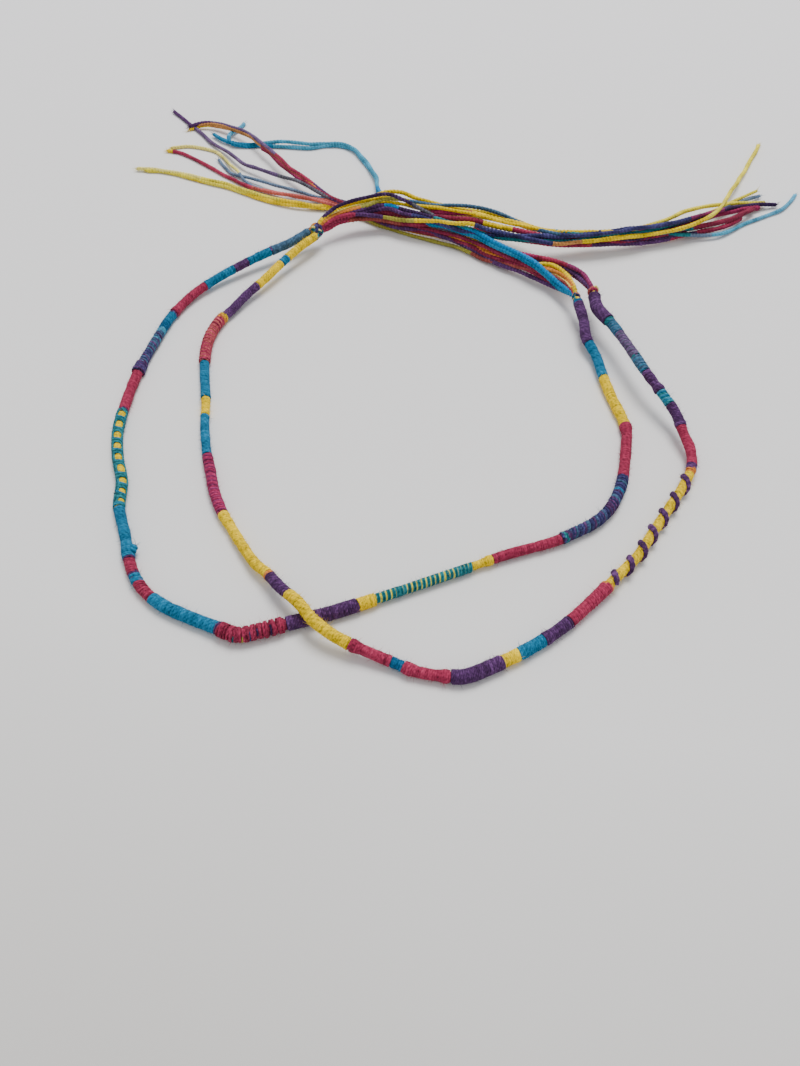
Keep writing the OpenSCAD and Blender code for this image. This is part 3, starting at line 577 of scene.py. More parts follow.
# Bare threads, by the node that they stand for. Each node has its knot, the locks at its side and a row for
# each thread: colours along it, with the share where each ends; the bundle that it leaves in; its drops
# there, one for each of the shares; how far it lies in front there; the lock that it then follows; its
# drops there, by share of the lock; the share of the lock that it reaches; and its diameter. A drop is how
# far the thread lies below the middle line as the camera sees it, and in front means towards the camera.
SHARES = [0, 0.06, 0.12, 0.2, 0.3, 0.4, 0.5, 0.6, 0.8, 1]
MIDDLE = [(0, 0)]
ABOVE = [(0, -0.28)]
BELOW = [(0, 0.3)]
TAILS = {
    "upper_left_tails": (SHARED_KNOT, LEFT_LOCKS, [
        ([("yellow", 0.7), ("lemon", 1)], UPPER_LEFT,
         [-0.6, 0.2, 0.7, -0.3, 0.2, 0.7, 0.2, -0.2, -0.4, -0.8], -0.4, 1, [(0, 0), (0.5, 0.05),
         (1, 0.3)], 1, 0.74),
        ([("orange", 0.1), ("olive", 0.2), ("dark_blue", 0.5), ("navy", 0.85), ("blue_grey", 1)],
         UPPER_LEFT, [0, 0.7, 1.5, 1.3, 0.5, -0.3, 0, 0.4, -0.4, 0.4], 0.6, 3, BELOW, 1, 0.66),
        ([("pale_yellow", 0.5), ("teal", 0.8), ("lemon", 1)], UPPER_LEFT,
         [-0.4, 0.4, 1.1, 1.7, 1.7, 1.7, 0.8, -0.2, 0.4, 0], -0.3, 3, [(0, -0.28), (0.7, -0.2), (1, -1)],
         0.94, 0.55),
        ([("yellow", 0.68), ("teal", 1)], UPPER_LEFT, [-0.4, -0.5, 0.6, 1.1, 1, 1.4, 0.5, -0.3, 0.4, 0.2],
         -0.3, 1, BELOW, 0.12, 0.62),
        ([("red", 0.07), ("purple", 0.115), ("olive", 0.17), ("yellow", 0.27), ("navy", 0.395),
         ("tan", 0.445), ("yellow", 0.66), ("lemon", 1)], LOWER_LEFT,
         [-1.2, -1, 0.8, 1.9, 0.7, -0.5, -0.2, 0.1, -1.1, -0.9], 1, 2, MIDDLE, 1, 0.74),
        ([("crimson", 0.09), ("purple", 0.2), ("navy", 0.76), ("plum", 0.86), ("dark_purple", 1)],
         LOWER_LEFT, [-0.7, -0.5, 0.4, 0, 0.5, 1.1, 0, -1.2, -2.4, -2.5], 0.7, 0, [(0, -0.28), (0.5, 0),
         (1, 0.1)], 1, 0.76),
        ([("magenta", 0.345), ("yellow", 0.6), ("magenta", 1)], LOWER_LEFT,
         [-0.5, -0.6, 0.9, 1.3, -0.9, -2.5, -2.5, -1.9, -1.7, -1.6], -0.8, 0, [(0, 0.8), (1, 0.5)], 0.82,
         0.92),
    ]),
    "lower_left_tails": (SHARED_KNOT, LEFT_LOCKS, [
        ([("dark_purple", 0.27), ("smoke", 0.33), ("plum", 0.4), ("dark_purple", 1)], LOWER_LEFT,
         [-2, -3.1, -2.2, -2.6, -0.3, 0.9, 0.2, -0.6, -0.5, 0.4], 0.2, 4, BELOW, 0.25, 0.64),
        ([("crimson", 0.1), ("purple", 0.19), ("bright_blue", 0.23), ("dark_purple", 0.32), ("teal", 1)],
         LOWER_LEFT, [-0.9, -1, -0.3, -0.5, 0, 0.4, 0.6, -0.3, -1.4, -0.8], 0.5, 4, MIDDLE, 0.2, 0.74),
        ([("crimson", 0.07), ("navy", 0.22), ("dark_blue", 0.5), ("teal", 0.71), ("blue_grey", 0.75),
         ("sky", 0.85), ("light_blue", 1)], LOWER_LEFT,
         [-0.6, -0.7, 0.1, 0.2, 0.6, 0.9, 0.3, -0.7, -1.9, 0.3], -0.2, 5, MIDDLE, 1, 0.68),
        ([("crimson", 0.37), ("yellow", 0.43), ("red", 0.5), ("crimson", 1)], LOWER_LEFT,
         [-0.7, -0.6, 0, 0.9, -0.2, -1.3, -1.2, -1, -0.2, -1], 0, 4, [(0, -1.2), (0.5, -1.15), (1, -0.6)],
         1, 0.92),
        ([("red", 0.08), ("rust", 0.2), ("crimson", 0.4), ("red", 0.62), ("purple", 0.8), ("red", 1)],
         LOWER_LEFT, [-0.3, 0, 1.6, 2.4, 1.3, 0.2, 0.2, 0.2, 0.2, 0.4], 0, 4, [(0, -0.3), (1, -0.1)], 0.8,
         0.82),
        ([("yellow", 1)], LOWER_LEFT, [-1.5, -1.8, -0.8, -1.1, -1.8, -2.4, -2.2, -2, -0.9, -0.9], -0.3, 4,
         MIDDLE, 0.1, 0.6),
    ]),
    "outer_right_tails": (OUTER_END_KNOT, RIGHT_LOCKS, [
        ([("bright_blue", 0.5), ("sky", 0.88), ("blue", 1)], OUTER_RIGHT,
         [0.2, 1.2, 1.1, -0.5, -1.1, -1.8, -2, -2.1, -1.5, -0.4], 0.6, 0, [(0, -0.2), (0.6, -0.2),
         (0.72, -0.9), (0.84, -0.1)], 1, 0.76),
        ([("blue", 0.5), ("sky", 0.82), ("blue", 0.93), ("light_blue", 1)], OUTER_RIGHT,
         [0.5, 1.7, 1.7, 0.1, -0.5, -1.2, -1.4, -1.6, -1.3, -0.4], 0.6, 7, [(0, 0.24), (0.57, 0.24),
         (0.68, 0.7), (0.8, 0.1)], 1, 0.76),
        ([("orange", 0.5), ("yellow", 0.75), ("lemon", 1)], OUTER_RIGHT,
         [-0.2, -0.2, -0.3, 0.3, 0.3, 0.3, 0.4, 0.4, 0.4, 0], -0.3, 1, BELOW, 0.96, 0.72),
        ([("yellow", 0.66), ("lemon", 0.85), ("pale_yellow", 1)], OUTER_RIGHT,
         [-0.5, -0.7, -1, -0.3, -0.3, -0.4, -0.4, -0.4, -0.2, -0.2], -0.3, 1, ABOVE, 1, 0.72),
        ([("pale_yellow", 0.12), ("yellow", 1)], OUTER_RIGHT,
         [-0.3, 0.3, 0.2, 0.6, 0.3, 0, -0.1, -0.2, 0.3, 0.3], -0.2, 1, [(0, 0.1), (0.5, 0.7), (1, 0.2)],
         0.75, 0.62),
        ([("crimson", 0.5), ("orange_red", 0.74), ("red", 0.985), ("yellow", 1)], OUTER_RIGHT,
         [0, 0.7, 1.2, 0.7, 0.2, -0.3, -0.4, -0.5, -0.5, -0.7], 0.2, 2, MIDDLE, 1, 0.7),
        ([("crimson", 1)], OUTER_RIGHT, [0.2, 1.1, 1.8, 1.2, 1.1, 0.9, 0.5, 0.1, 0.2, -1.3], 0.2, 5,
         [(0, 0.5), (0.4, 0.6)], 0.55, 0.74),
        ([("purple", 0.5), ("smoke", 0.63), ("violet", 0.92), ("purple", 1)], OUTER_RIGHT,
         [0.4, 1.8, 2.3, 2, 1.8, 1.5, 0.7, -0.1, 0.3, -1.3], 0.1, 6, MIDDLE, 1, 0.72),
        ([("rust", 0.24), ("olive", 0.5), ("orange_red", 0.7), ("blue_grey", 0.78), ("pale_yellow", 1)],
         OUTER_RIGHT, [0, 0.4, 0.7, 1, 1.4, 1.9, 1.6, 1.3, 1, -0.4], 0.3, 4, [(0, 1.2), (0.35, 0.8),
         (0.5, 0)], 1, 0.62),
        ([("blue_grey", 1)], OUTER_RIGHT, [-0.4, 0, 0.2, 0.2, 0, -0.2, -0.6, -0.9, -0.9, -1.1], -0.5, 3,
         MIDDLE, 1, 0.6),
        ([("orange", 0.62), ("rust", 0.78), ("tan", 0.95), ("yellow", 1)], OUTER_RIGHT,
         [-0.6, -0.4, -0.2, 0.9, 0.8, 0.6, 0, -0.6, -0.7, -0.6], 0, 5, [(0, 0.3), (1, 0.35)], 1, 0.6),
    ]),
    "inner_right_tails": (INNER_END_KNOT, RIGHT_LOCKS, [
        ([("plum", 0.1), ("red", 0.18), ("magenta", 1)], INNER_RIGHT,
         [-0.4, -0.3, -0.3, -0.1, 0.6, 1.3, 1.1, 0.9, 1.1, 1.3], 0.3, 5, [(0, 0.7), (0.4, 0.5)], 0.45,
         0.78),
        ([("purple", 0.6), ("red", 0.73), ("violet", 0.95), ("purple", 1)], INNER_RIGHT,
         [0, 0.4, 0.4, 0.6, 0.8, 0.9, 1, 1.1, 1.5, 1.3], 0.2, 5, [(0, -0.1), (1, -0.2)], 1, 0.74),
        ([("crimson", 0.62), ("rust", 0.8), ("tan", 1)], INNER_RIGHT,
         [0.2, 0.7, 0.7, 1.2, 1.4, 1.6, 1.2, 0.8, 0.9, 0.9], -0.2, 5, [(0, 0.2), (1, 0.1)], 0.97, 0.62),
        ([("dark_purple", 1)], INNER_RIGHT, [0.2, 0, 0, 0.3, 0.6, 1, 0.9, 0.9, 0.9, 1.1], 0, 6, BELOW,
         0.08, 0.7),
    ]),
}
# Steps of a bare thread's centre line, and of the points that it is drawn through
TAIL_STEP = 0.3
CONTROL_STEP = 3.0
TAIL_SIDES = 10
PLY_PITCH = 1.4
# Where in its bundle a thread's second drawn point lies, and the first stretch, over which it comes forward
BUNDLE_START = 0.6
FRONT_LENGTH = 5
# How far a drop also moves a thread forward, at most how far, and how much that spares of the drop
DROP_FORWARD = 0.45
FORWARD_MOST = 0.9
FORWARD_SHARE = 0.54
# The stretch without a drawn point where a thread turns from its bundle into its lock
JOIN_LENGTH = 4.0
# The first stretch of a lock, over which a thread takes its own place there
SETTLE_LENGTH = 11.0
# How unevenly the bare threads lie, by axis
TAIL_WOBBLE = (0.09, 0.09, 0.05)
# How unevenly thick they are, and the stretch at each end over which they narrow, and to what share
TAIL_SWELL = 0.06
BLUNT_LENGTH = 0.25
BLUNT_SHARE = 0.45
TAIL_SEED = 1000
SEEDS_PER_GROUP = 50


def dropped(line, s, drop):
    """Points along a line, moved down as the camera sees it by each drop."""
    _, side, top = line.frames(s)
    near = side * np.where(side[:, 1] > 0, -1.0, 1.0)[:, None]
    forward = np.clip(DROP_FORWARD * drop, -FORWARD_MOST, FORWARD_MOST)
    return line.at(s) + near * forward[:, None] - top * (drop - FORWARD_SHARE * forward)[:, None]


def tail_path(knot, route, drops, front, lock, lock_drops, reach, rng):
    """Centre of one bare thread: out of its knot, its place in the bundle, then its lock."""
    bundle = Line(smooth(route))
    follow = Line(smooth(lock))
    leave = bundle.marks[np.argmin(np.linalg.norm(bundle.points - follow.points[0], axis=1))]

    def in_bundle(s):
        points = dropped(bundle, s, np.interp(s / bundle.length, SHARES, drops))
        forward = np.clip(s / FRONT_LENGTH, 0, 1) * front
        return points + unit(np.array(CAMERA_PLACE) - points) * forward[:, None]

    s = np.arange(BUNDLE_START, leave - JOIN_LENGTH / 2, CONTROL_STEP)
    reached = follow.length * reach
    t = np.linspace(JOIN_LENGTH / 2, reached, max(3, round(reached / CONTROL_STEP)))
    settled = np.clip(t / SETTLE_LENGTH, 0, 1)[:, None]
    settled = settled**2 * (3 - 2 * settled)
    gap = in_bundle(np.array([leave]))[0] - follow.points[0]
    own = np.interp(t / follow.length, [row[0] for row in lock_drops], [row[1] for row in lock_drops])
    along_lock = (follow.at(t) + gap) * (1 - settled) + dropped(follow, t, own) * settled
    points = np.vstack([[knot], in_bundle(s), along_lock])
    points[2:] += rng.normal(scale=TAIL_WOBBLE, size=points[2:].shape)
    line = Line(smooth(points))
    return line.at(np.linspace(0, line.length, int(line.length / TAIL_STEP)))


def bare_thread(skin, path, diameter, paint, rng, sides=TAIL_SIDES):
    """A two-ply thread with blunt ends."""
    line = Line(path)
    _, side, _ = line.frames(line.marks)
    along = unit(np.gradient(path, axis=0))
    shape = two_ply(line.marks, sides, PLY_PITCH, full=1.05, dip=0.24)
    swell = 1 + TAIL_SWELL * wander(rng, 60, line.marks)
    from_end = np.minimum(line.marks, line.length - line.marks)
    ends = np.clip(from_end / BLUNT_LENGTH + BLUNT_SHARE, BLUNT_SHARE, 1)
    tone = shades(rng, 80, line.marks, swing=0.2)
    half = diameter / 2 * swell * ends
    skin.tube(path, unit(np.cross(side, along)), along, half, half, sides, paint, tone, shape)


def thread_fuzz(skin, path, diameter, paint, rng, per_mm, longest=0.9):
    """Fine fibres that stand off a bare thread."""
    line = Line(path)
    count = int(line.length * per_mm)
    s = rng.uniform(0, line.length, count)
    along, side, top = line.frames(s)
    angle = rng.uniform(0, FULL_TURN, count)[:, None]
    out = side * np.cos(angle) + top * np.sin(angle)
    roots = line.at(s) + out * diameter * 0.42
    ways = unit(out * rng.uniform(0.2, 1, (count, 1)) + along * rng.choice([-1, 1], (count, 1)))
    lengths = rng.uniform(0.25, longest, count)
    colours = [paint[int(x / line.length * (len(paint) - 1))] for x in s]
    skin.hairs(roots, ways, lengths, FIBRE_RADIUS, colours, rng)


def frayed_tip(skin, path, diameter, colour, rng, count=16):
    """The loose end of a cut thread: its fibres part a little."""
    way = unit(path[-1] - path[-6])
    roots = path[-2] + rng.normal(scale=diameter * 0.2, size=(count, 3))
    ways = unit(way + rng.normal(scale=0.28, size=(count, 3)))
    skin.hairs(roots, ways, rng.uniform(0.4, 1.1, count), FIBRE_RADIUS * 2.2, [colour] * count, rng, 0.6)


def make_tails():
    for group, (node, (knot, locks, threads)) in enumerate(TAILS.items()):
        for i, (colours, route, drops, front, lock, lock_drops, reach, diameter) in enumerate(threads):
            rng = np.random.default_rng(TAIL_SEED + SEEDS_PER_GROUP * group + i)
            path = tail_path(knot, route, drops, front, locks[lock], lock_drops, reach, rng)
            path[:, 2] = np.maximum(path[:, 2], diameter / 2)
            ends = [end for _, end in colours]
            shares = np.linspace(0, 1, len(path))
            paint = [colours[min(np.searchsorted(ends, share), len(colours) - 1)][0] for share in shares]
            skin = Skin()
            bare_thread(skin, path, diameter, paint, rng)
            thread_fuzz(skin, path, diameter, paint, rng, per_mm=1.6)
            frayed_tip(skin, path, diameter, paint[-1], rng)
            made = skin.piece(f"{node}_{i + 1}_{colours[0][0]}", node, "tail_threads")
            [tuple(p) for p in path * MM]


OUTER = Line(smooth(OUTER_ROUTE))
INNER = Line(smooth(INNER_ROUTE))

SLOTS = {
    "crossed_teal": "teal_cotton", "coiled_teal": "teal_cotton", "bulky_red": "red_cotton",
    "spiralled_yellow": "yellow_cotton",
}
BASE_COLOURS = {"blue_violet": "navy", "spiralled_yellow": "yellow"}


class Wrap:
    """One wrapped section of a strand, from s0 to s1 along it, with the threads laid on it so far."""

    CORE_STEP = 0.5
    CORE_END = 0.9

    def __init__(self, line, s0, s1, diameter, rng):
        self.line = line
        self.s0 = s0
        self.s1 = s1
        self.half = diameter / 2
        self.rng = rng
        self.skin = Skin()

    def around(self, s, angle, radius):
        return around(self.line, s, angle, radius, self.half)

    def profile(self, radius, lumps, bumps=(), span=None):
        """Radius by distance along the wrap, with gentle lumps and the swellings of its joins."""
        s0, s1 = span or (self.s0, self.s1)
        draw = self.rng.uniform
        waves = [(draw(1.4, 5), draw(0, FULL_TURN), draw(0.3, 1)) for _ in range(4)]
        joins = [(s0 + 0.25, 0.4, draw(0, 0.04)), (s1 - 0.25, 0.4, draw(0, 0.04))]

        def radius_at(s):
            made = np.full_like(s, radius)
            for length, phase, share in waves:
                made += lumps * share * 0.6 * np.sin(FULL_TURN * s / length + phase)
            for place, reach, height in joins + list(bumps):
                made += height * np.exp(-(((s - place) / reach) ** 2))
            return made

        return radius_at

    def wind(self, radius_at, colours, span=None, rng=None, width=TURN_WIDTH, thickness=TURN_THICKNESS,
             pitch=TURN_PITCH, zones=(), lean=0.08, sides=TURN_SIDES, jitter=0.1):
        """Thread wound closely round the strand, one or more threads side by side."""
        s0, s1 = span or (self.s0, self.s1)
        rng = rng or self.rng
        starts = len(colours)
        turns = max(1.5, (s1 - s0) / (pitch * starts))
        whole = int(math.ceil(turns))
        t = np.linspace(0, turns, int(turns * TURN_STEPS) + 2)
        for k, colour in enumerate(colours):
            steps = 1 + jitter * rng.normal(size=whole)
            edges = np.concatenate([[0.0], np.cumsum(np.clip(steps, 0.6, 1.5))])
            s = np.interp(t, np.arange(whole + 1), edges)
            s = s0 + width * 0.3 + (s1 - s0 - width * 0.6) * s / s[-1]
            angle = FULL_TURN * (t + k / starts)
            rise = TURN_RISE * wander(rng, whole + 2, t)
            tilt = lean * wander(rng, max(3, whole // 4), t)
            tilted = np.clip(s + tilt * np.cos(angle - 0.6), s0, s1)
            path, out, run = self.around(tilted, angle, radius_at(tilted) - thickness / 2 + rise)
            tone = shades(rng, 2 * whole + 2, t, swing=0.26)
            paint = np.full(len(s), colour, dtype=object)
            for start, end, other in zones:
                paint[(tilted >= start) & (tilted <= end)] = other
            half = thickness / 2 * (1 + 0.1 * wander(rng, 2 * whole + 2, t))
            self.skin.tube(path, square(out, run), run, half, width / 2, sides, list(paint), tone)

    def core(self, radius_at, colour, inset=0.1):
        """The body of the strand, just under its turns."""
        s = np.linspace(self.s0, self.s1, max(4, int((self.s1 - self.s0) / self.CORE_STEP)))
        along, _, top = self.line.frames(s)
        radius = radius_at(s) - inset
        radius[[0, -1]] *= self.CORE_END
        centre = lifted(self.line, s, self.half)
        self.skin.tube(centre, top, along, radius, radius, CORE_SIDES, colour, tone=0.35)

    def fuzz(self, radius_at, colour, per_mm, zones=(), longest=0.8):
        """Fine fibres that stand off the upper side of the wrap."""
        rng = self.rng
        count = int((self.s1 - self.s0) * per_mm)
        s = rng.uniform(self.s0, self.s1, count)
        along, side, top = self.line.frames(s)
        angle = rng.uniform(-0.5, math.pi + 0.5, count)[:, None]
        out = side * np.cos(angle) + top * np.sin(angle)
        roots = lifted(self.line, s, self.half) + out * (radius_at(s) - 0.05)[:, None]
        ways = unit(out * rng.uniform(0.15, 1, (count, 1))
                    + np.cross(along, out) * rng.normal(scale=0.7, size=(count, 1))
                    + along * rng.normal(scale=0.6, size=(count, 1)))
        lengths = 0.2 + (longest - 0.2) * rng.uniform(0, 1, count) ** 2
        colours = [next((other for start, end, other in zones if start <= x <= end), colour) for x in s]
        self.skin.hairs(roots, ways, lengths, FIBRE_RADIUS, colours, rng)


def plain_wrap(wrap, diameter, colour, looks):
    """Close turns of one thread, or of a few side by side."""
    width, thickness, pitch = TURN_WIDTH, TURN_THICKNESS, TURN_PITCH
    if looks.get("fine"):
        width, thickness, pitch = FINE_WIDTH, FINE_THICKNESS, FINE_PITCH
    radius_at = wrap.profile(diameter / 2, looks.get("lumps", PLAIN_LUMPS), looks.get("bumps", ()))
    zones = looks.get("zones", ())
    threads = looks.get("threads", [colour])
    wrap.core(radius_at, colour, inset=thickness * 0.6)
    wrap.wind(radius_at, threads, width=width, thickness=thickness, pitch=pitch, zones=zones)
    wrap.fuzz(radius_at, threads[0], per_mm=24, zones=zones)


# Where the two teal bands of the crossed wrap meet on its upper side, and how far round they meet there
CROSSINGS = [49.9, 51.8, 53.9, 56, 58, 60.1, 62.4, 64.2, 65.8, 67.6]
CROSSING_ANGLES = [112, 112, 110, 108, 108, 112, 116, 126, 138, 130]
# The threads that lie side by side in each band, and how far they lie apart
BAND_COLOURS = ["teal", "blue", "teal", "dark_teal", "teal"]
BAND_SPACING = 0.212
BAND_STEPS = 26
# How much closer they lie where the bands meet, how far a band's slant changes on its way round, how deep
# its middle lies in the wrap, and how far the upper band rises over the lower one
BAND_PINCH = 0.25
BAND_FLATTEN = 0.065
BAND_DEPTH = 0.075
BAND_OVER = 0.05
# Half the thickness and half the width of a band's threads, and of the threads beside the spots
BAND_HALVES = (0.08, 0.13)
SIDE_HALVES = (0.08, 0.14)
# Threads that run along both sides of the yellow spots: degrees from the middle of the spots, colour
SIDE_THREADS = [(-68, "dark_teal"), (-45, "teal"), (45, "teal"), (68, "dark_teal")]
# How far they bow round the spots and how unevenly, in degrees, and how deep their middle lies
SIDE_BOW = 9
SIDE_UNEVEN = 4
SIDE_DEPTH = 0.05
# How far the yellow turns lie below the teal ones
UNDER_DEPTH = 0.1


def crossed_wrap(wrap):
    """Yellow turns under two bands of teal that cross on top and leave yellow spots."""
    base = wrap.profile(wrap.half - UNDER_DEPTH, UNDER_LUMPS)
    wrap.core(base, "yellow")
    wrap.wind(base, ["yellow"])
    last = len(CROSSINGS) - 1
    nth = np.arange(last + 1)
    angles = np.radians(CROSSING_ANGLES)
    for hand in (1, -1):
        for k in range(len(BAND_COLOURS)):
            across = (k - 2) * BAND_SPACING
            t = np.arange(0, last, 1 / BAND_STEPS)
            flat = BAND_FLATTEN * np.sin(2 * FULL_TURN * t) * np.interp(t, nth, np.gradient(CROSSINGS))
            s = np.interp(t, nth, CROSSINGS) + across * (1 - BAND_PINCH * np.cos(FULL_TURN * t)) - flat
            keep = (s > wrap.s0 + 0.1) & (s < wrap.s1 - 0.1)
            t, s = t[keep], s[keep]
            crossing = np.interp(t, nth, angles)
            angle = crossing + hand * FULL_TURN * t
            on_top = np.abs(np.cos(angle - crossing)) * (hand > 0)
            radius = wrap.half - BAND_DEPTH + BAND_OVER * on_top + TURN_RISE * wander(wrap.rng, 40, t)
            path, out, run = wrap.around(s, angle, radius)
            tone = shades(wrap.rng, 60, t, swing=0.3)
            colour = BAND_COLOURS[(k + hand) % len(BAND_COLOURS)]
            wrap.skin.tube(path, square(out, run), run, *BAND_HALVES, TURN_SIDES, colour, tone)
    for sideways, colour in SIDE_THREADS:
        t = np.arange(0.05, last - 0.35, 1 / BAND_STEPS)
        bow = SIDE_BOW * np.cos(FULL_TURN * t) + SIDE_UNEVEN * wander(wrap.rng, 30, t)
        angle = np.interp(t, nth, angles) + np.radians(sideways - np.sign(sideways) * bow)
        path, out, run = wrap.around(np.interp(t, nth, CROSSINGS), angle, wrap.half - SIDE_DEPTH)
        tone = shades(wrap.rng, 60, t, swing=0.3, middle=0.45)
        wrap.skin.tube(path, square(out, run), run, *SIDE_HALVES, TURN_SIDES, colour, tone)
    top_at = wrap.profile(wrap.half, PLAIN_LUMPS)
    wrap.wind(top_at, ["teal", "blue"], span=(wrap.s1 - 0.75, wrap.s1))
    wrap.fuzz(top_at, "teal", per_mm=14)


# The broad turns of the coiled wrap: colours side by side, how far each starts after the one before it,
# the stretch from one turn to the next, and the seed that they share, so that they keep together
COIL_COLOURS = ["teal", "dark_teal", "teal"]
COIL_SPACING = 0.125
COIL_PITCH = 0.56
COIL_SEED = 161


def coiled_wrap(wrap):
    """Yellow turns nearly hidden under broad turns of teal thread."""
    base = wrap.profile(wrap.half - UNDER_DEPTH, UNDER_LUMPS)
    wrap.core(base, "lemon")
    wrap.wind(base, ["lemon"])
    over = wrap.profile(wrap.half - 0.05, UNDER_LUMPS)
    for k, colour in enumerate(COIL_COLOURS):
        shift = COIL_SPACING * k
        span = wrap.s0 + shift, wrap.s1 - 2 * COIL_SPACING + shift
        wrap.wind(over, [colour], span, np.random.default_rng(COIL_SEED), width=0.2, thickness=0.13,
                  pitch=COIL_PITCH, lean=0.07, jitter=0.16)
    wrap.fuzz(over, "teal", per_mm=14)


# The crests of the thick hitches of the bulky wrap, along the outer strand, after its first one
HITCHES = [92.6, 93.35, 94.15, 95, 95.75, 96.5, 97.2, 98, 98.8]
# The first one from the start of the wrap, and how deep the grooves are, how high and how broad a hitch is
FIRST_HITCH = 0.5
GROOVE_DEPTH = 0.16
HITCH_HEIGHT = 0.15
HITCH_REACH = 0.45
# Short dark threads in the grooves: place, first and last angle from the viewer's side, colour
GROOVE_THREADS = [(93.75, -20, 45, "dark_teal"), (94.6, -20, 40, "olive"), (95.35, -10, 70, "navy"),
                  (96.15, 20, 80, "dark_purple"), (97.6, 0, 85, "dark_purple")]
GROOVE_STEPS = 16
GROOVE_HALVES = (0.09, 0.12)


def bulky_wrap(wrap):
    """A row of thick leaning hitches with short dark threads in some of the grooves between them."""
    crests = np.array([wrap.s0 + FIRST_HITCH] + HITCHES)

    def radius_at(s):
        near = np.min(np.abs(s[:, None] - crests[None, :]), axis=1)
        slope = np.clip(near / HITCH_REACH, 0, 1) * math.pi / 2
        return wrap.half - GROOVE_DEPTH + HITCH_HEIGHT * np.cos(slope)

    wrap.core(radius_at, "crimson", inset=0.14)
    wrap.wind(radius_at, ["red", "crimson", "crimson"], width=0.34, thickness=0.2, pitch=0.24, lean=0.2,
              sides=8, jitter=0.2)
    for crest in crests:
        height = wrap.rng.uniform(0.02, 0.07)
        hump = wrap.profile(wrap.half + height, 0.0, span=(crest - 0.3, crest + 0.3))
        wrap.wind(hump, ["red", "crimson"], span=(max(wrap.s0, crest - 0.26), crest + 0.26), width=0.26,
                  thickness=0.22, pitch=0.17, lean=0.3, sides=8, jitter=0.2)
    for groove, first, last, colour in GROOVE_THREADS:
        angle = np.radians(np.linspace(first, last, GROOVE_STEPS))
        s = groove + 0.12 * np.sin(angle * 1.5)
        path, out, run = wrap.around(s, angle, wrap.half - 0.02)
        wrap.skin.tube(path, out, run, *GROOVE_HALVES, TURN_SIDES, colour, tone=0.4)
    band = wrap.profile(wrap.half - 0.02, 0.0, span=(wrap.s0, wrap.s0 + 0.4))
    wrap.wind(band, ["purple"], span=(wrap.s0, wrap.s0 + 0.34), width=0.2, thickness=0.16, lean=0.1)
    wrap.fuzz(radius_at, "red", per_mm=30, longest=1.1)


SPECIAL_WRAPS = {"crossed_teal": crossed_wrap, "coiled_teal": coiled_wrap, "bulky_red": bulky_wrap}

# The short cut end: its threads' diameter, how it bends, their shifts, and its longest loose fibres
STUB_DIAMETER = 0.95
STUB_BEND = (0, 0.4, 0)
STUB_SHIFTS = [(0, 0, 0), (-0.05, -0.45, 0)]
STUB_HAIR_WAYS = [(0.1, 1, 0.6), (0.6, 0.8, 0.2), (0.9, 0.2, 0.3)]
STUB_HAIR_LENGTHS = [1.3, 0.7, 0.6]
STUB_HAIR_RADIUS = 0.04


def make_stub(wrap, place):
    """The short cut end of thread that stands out to one side of the blue wrap."""
    at = np.array([place])
    _, side, _ = wrap.line.frames(at)
    steps = np.linspace(0, 1, 12)[:, None]
    path = (wrap.line.at(at)[0] - side[0] * (0.25 + 0.75 * steps) + UP * (0.1 + 0.25 * steps)
            + np.array(STUB_BEND) * steps**2)
    for shift in STUB_SHIFTS:
        bare_thread(wrap.skin, path + np.array(shift), STUB_DIAMETER, "blue", wrap.rng)
    ways = unit(np.array(STUB_HAIR_WAYS))
    lengths = np.array(STUB_HAIR_LENGTHS)
    roots = path[[-2, -2, -2]]
    wrap.skin.hairs(roots, ways, lengths, STUB_HAIR_RADIUS, ["blue"] * 3, wrap.rng, tone=0.4)


def make_strand(prefix, table, line, first_seed):
    start = 0.0
    for i, (name, end, diameter, girth, looks) in enumerate(table):
        node = f"{prefix}_{i + 1:02d}_{name}"
        wrap = Wrap(line, start, min(end, line.length), diameter, np.random.default_rng(first_seed + i))
        if name in SPECIAL_WRAPS:
            SPECIAL_WRAPS[name](wrap)
        else:
            plain_wrap(wrap, diameter + girth, BASE_COLOURS.get(name, name), looks)
        if "stub" in looks:
            make_stub(wrap, looks["stub"])
        wrap.skin.piece(node + "_threads", node, SLOTS.get(name, name + "_cotton"))
        start = end


# The purple thread: how far its middle lies from the strand's, its diameter for the fibres that stand off
# it, half its thickness and width, its shift along the strand, and its first and last turn
SPIRAL_RADIUS = 0.68
SPIRAL_DIAMETER = 0.55
SPIRAL_HALVES = (0.27, 0.38)
SPIRAL_SHIFT = 0.4
SPIRAL_TURNS = (-0.2, 6.4)
SPIRAL_STEPS = 400
SPIRAL_SIDES = 12
SPIRAL_SEED = 77


def make_spiral():
    """The thick purple thread laid round the long yellow wrap in open turns."""
    rng = np.random.default_rng(SPIRAL_SEED)
    turns = np.linspace(*SPIRAL_TURNS, SPIRAL_STEPS)
    tops = np.array(SPIRAL_TOPS)
    whole = np.clip(np.floor(turns), 0, len(tops) - 2).astype(int)
    s = tops[whole] + (tops[whole + 1] - tops[whole]) * (turns - whole) + SPIRAL_SHIFT
    path, out, run = around(INNER, s, math.radians(90) + FULL_TURN * turns, SPIRAL_RADIUS)
    shape = two_ply(Line(path).marks, SPIRAL_SIDES, pitch=1.7, full=1.04, dip=0.18)
    tone = shades(rng, 60, turns, swing=0.2, middle=0.45)
    skin = Skin()
    skin.tube(path, square(out, run), run, *SPIRAL_HALVES, SPIRAL_SIDES, "purple", tone, shape)
    thread_fuzz(skin, path, SPIRAL_DIAMETER, ["purple"], rng, per_mm=7)
    skin.piece("purple_spiral_thread", "purple_spiral", "purple_cotton")


LOOP_STEPS = 40
LOOP_SIDES = 12


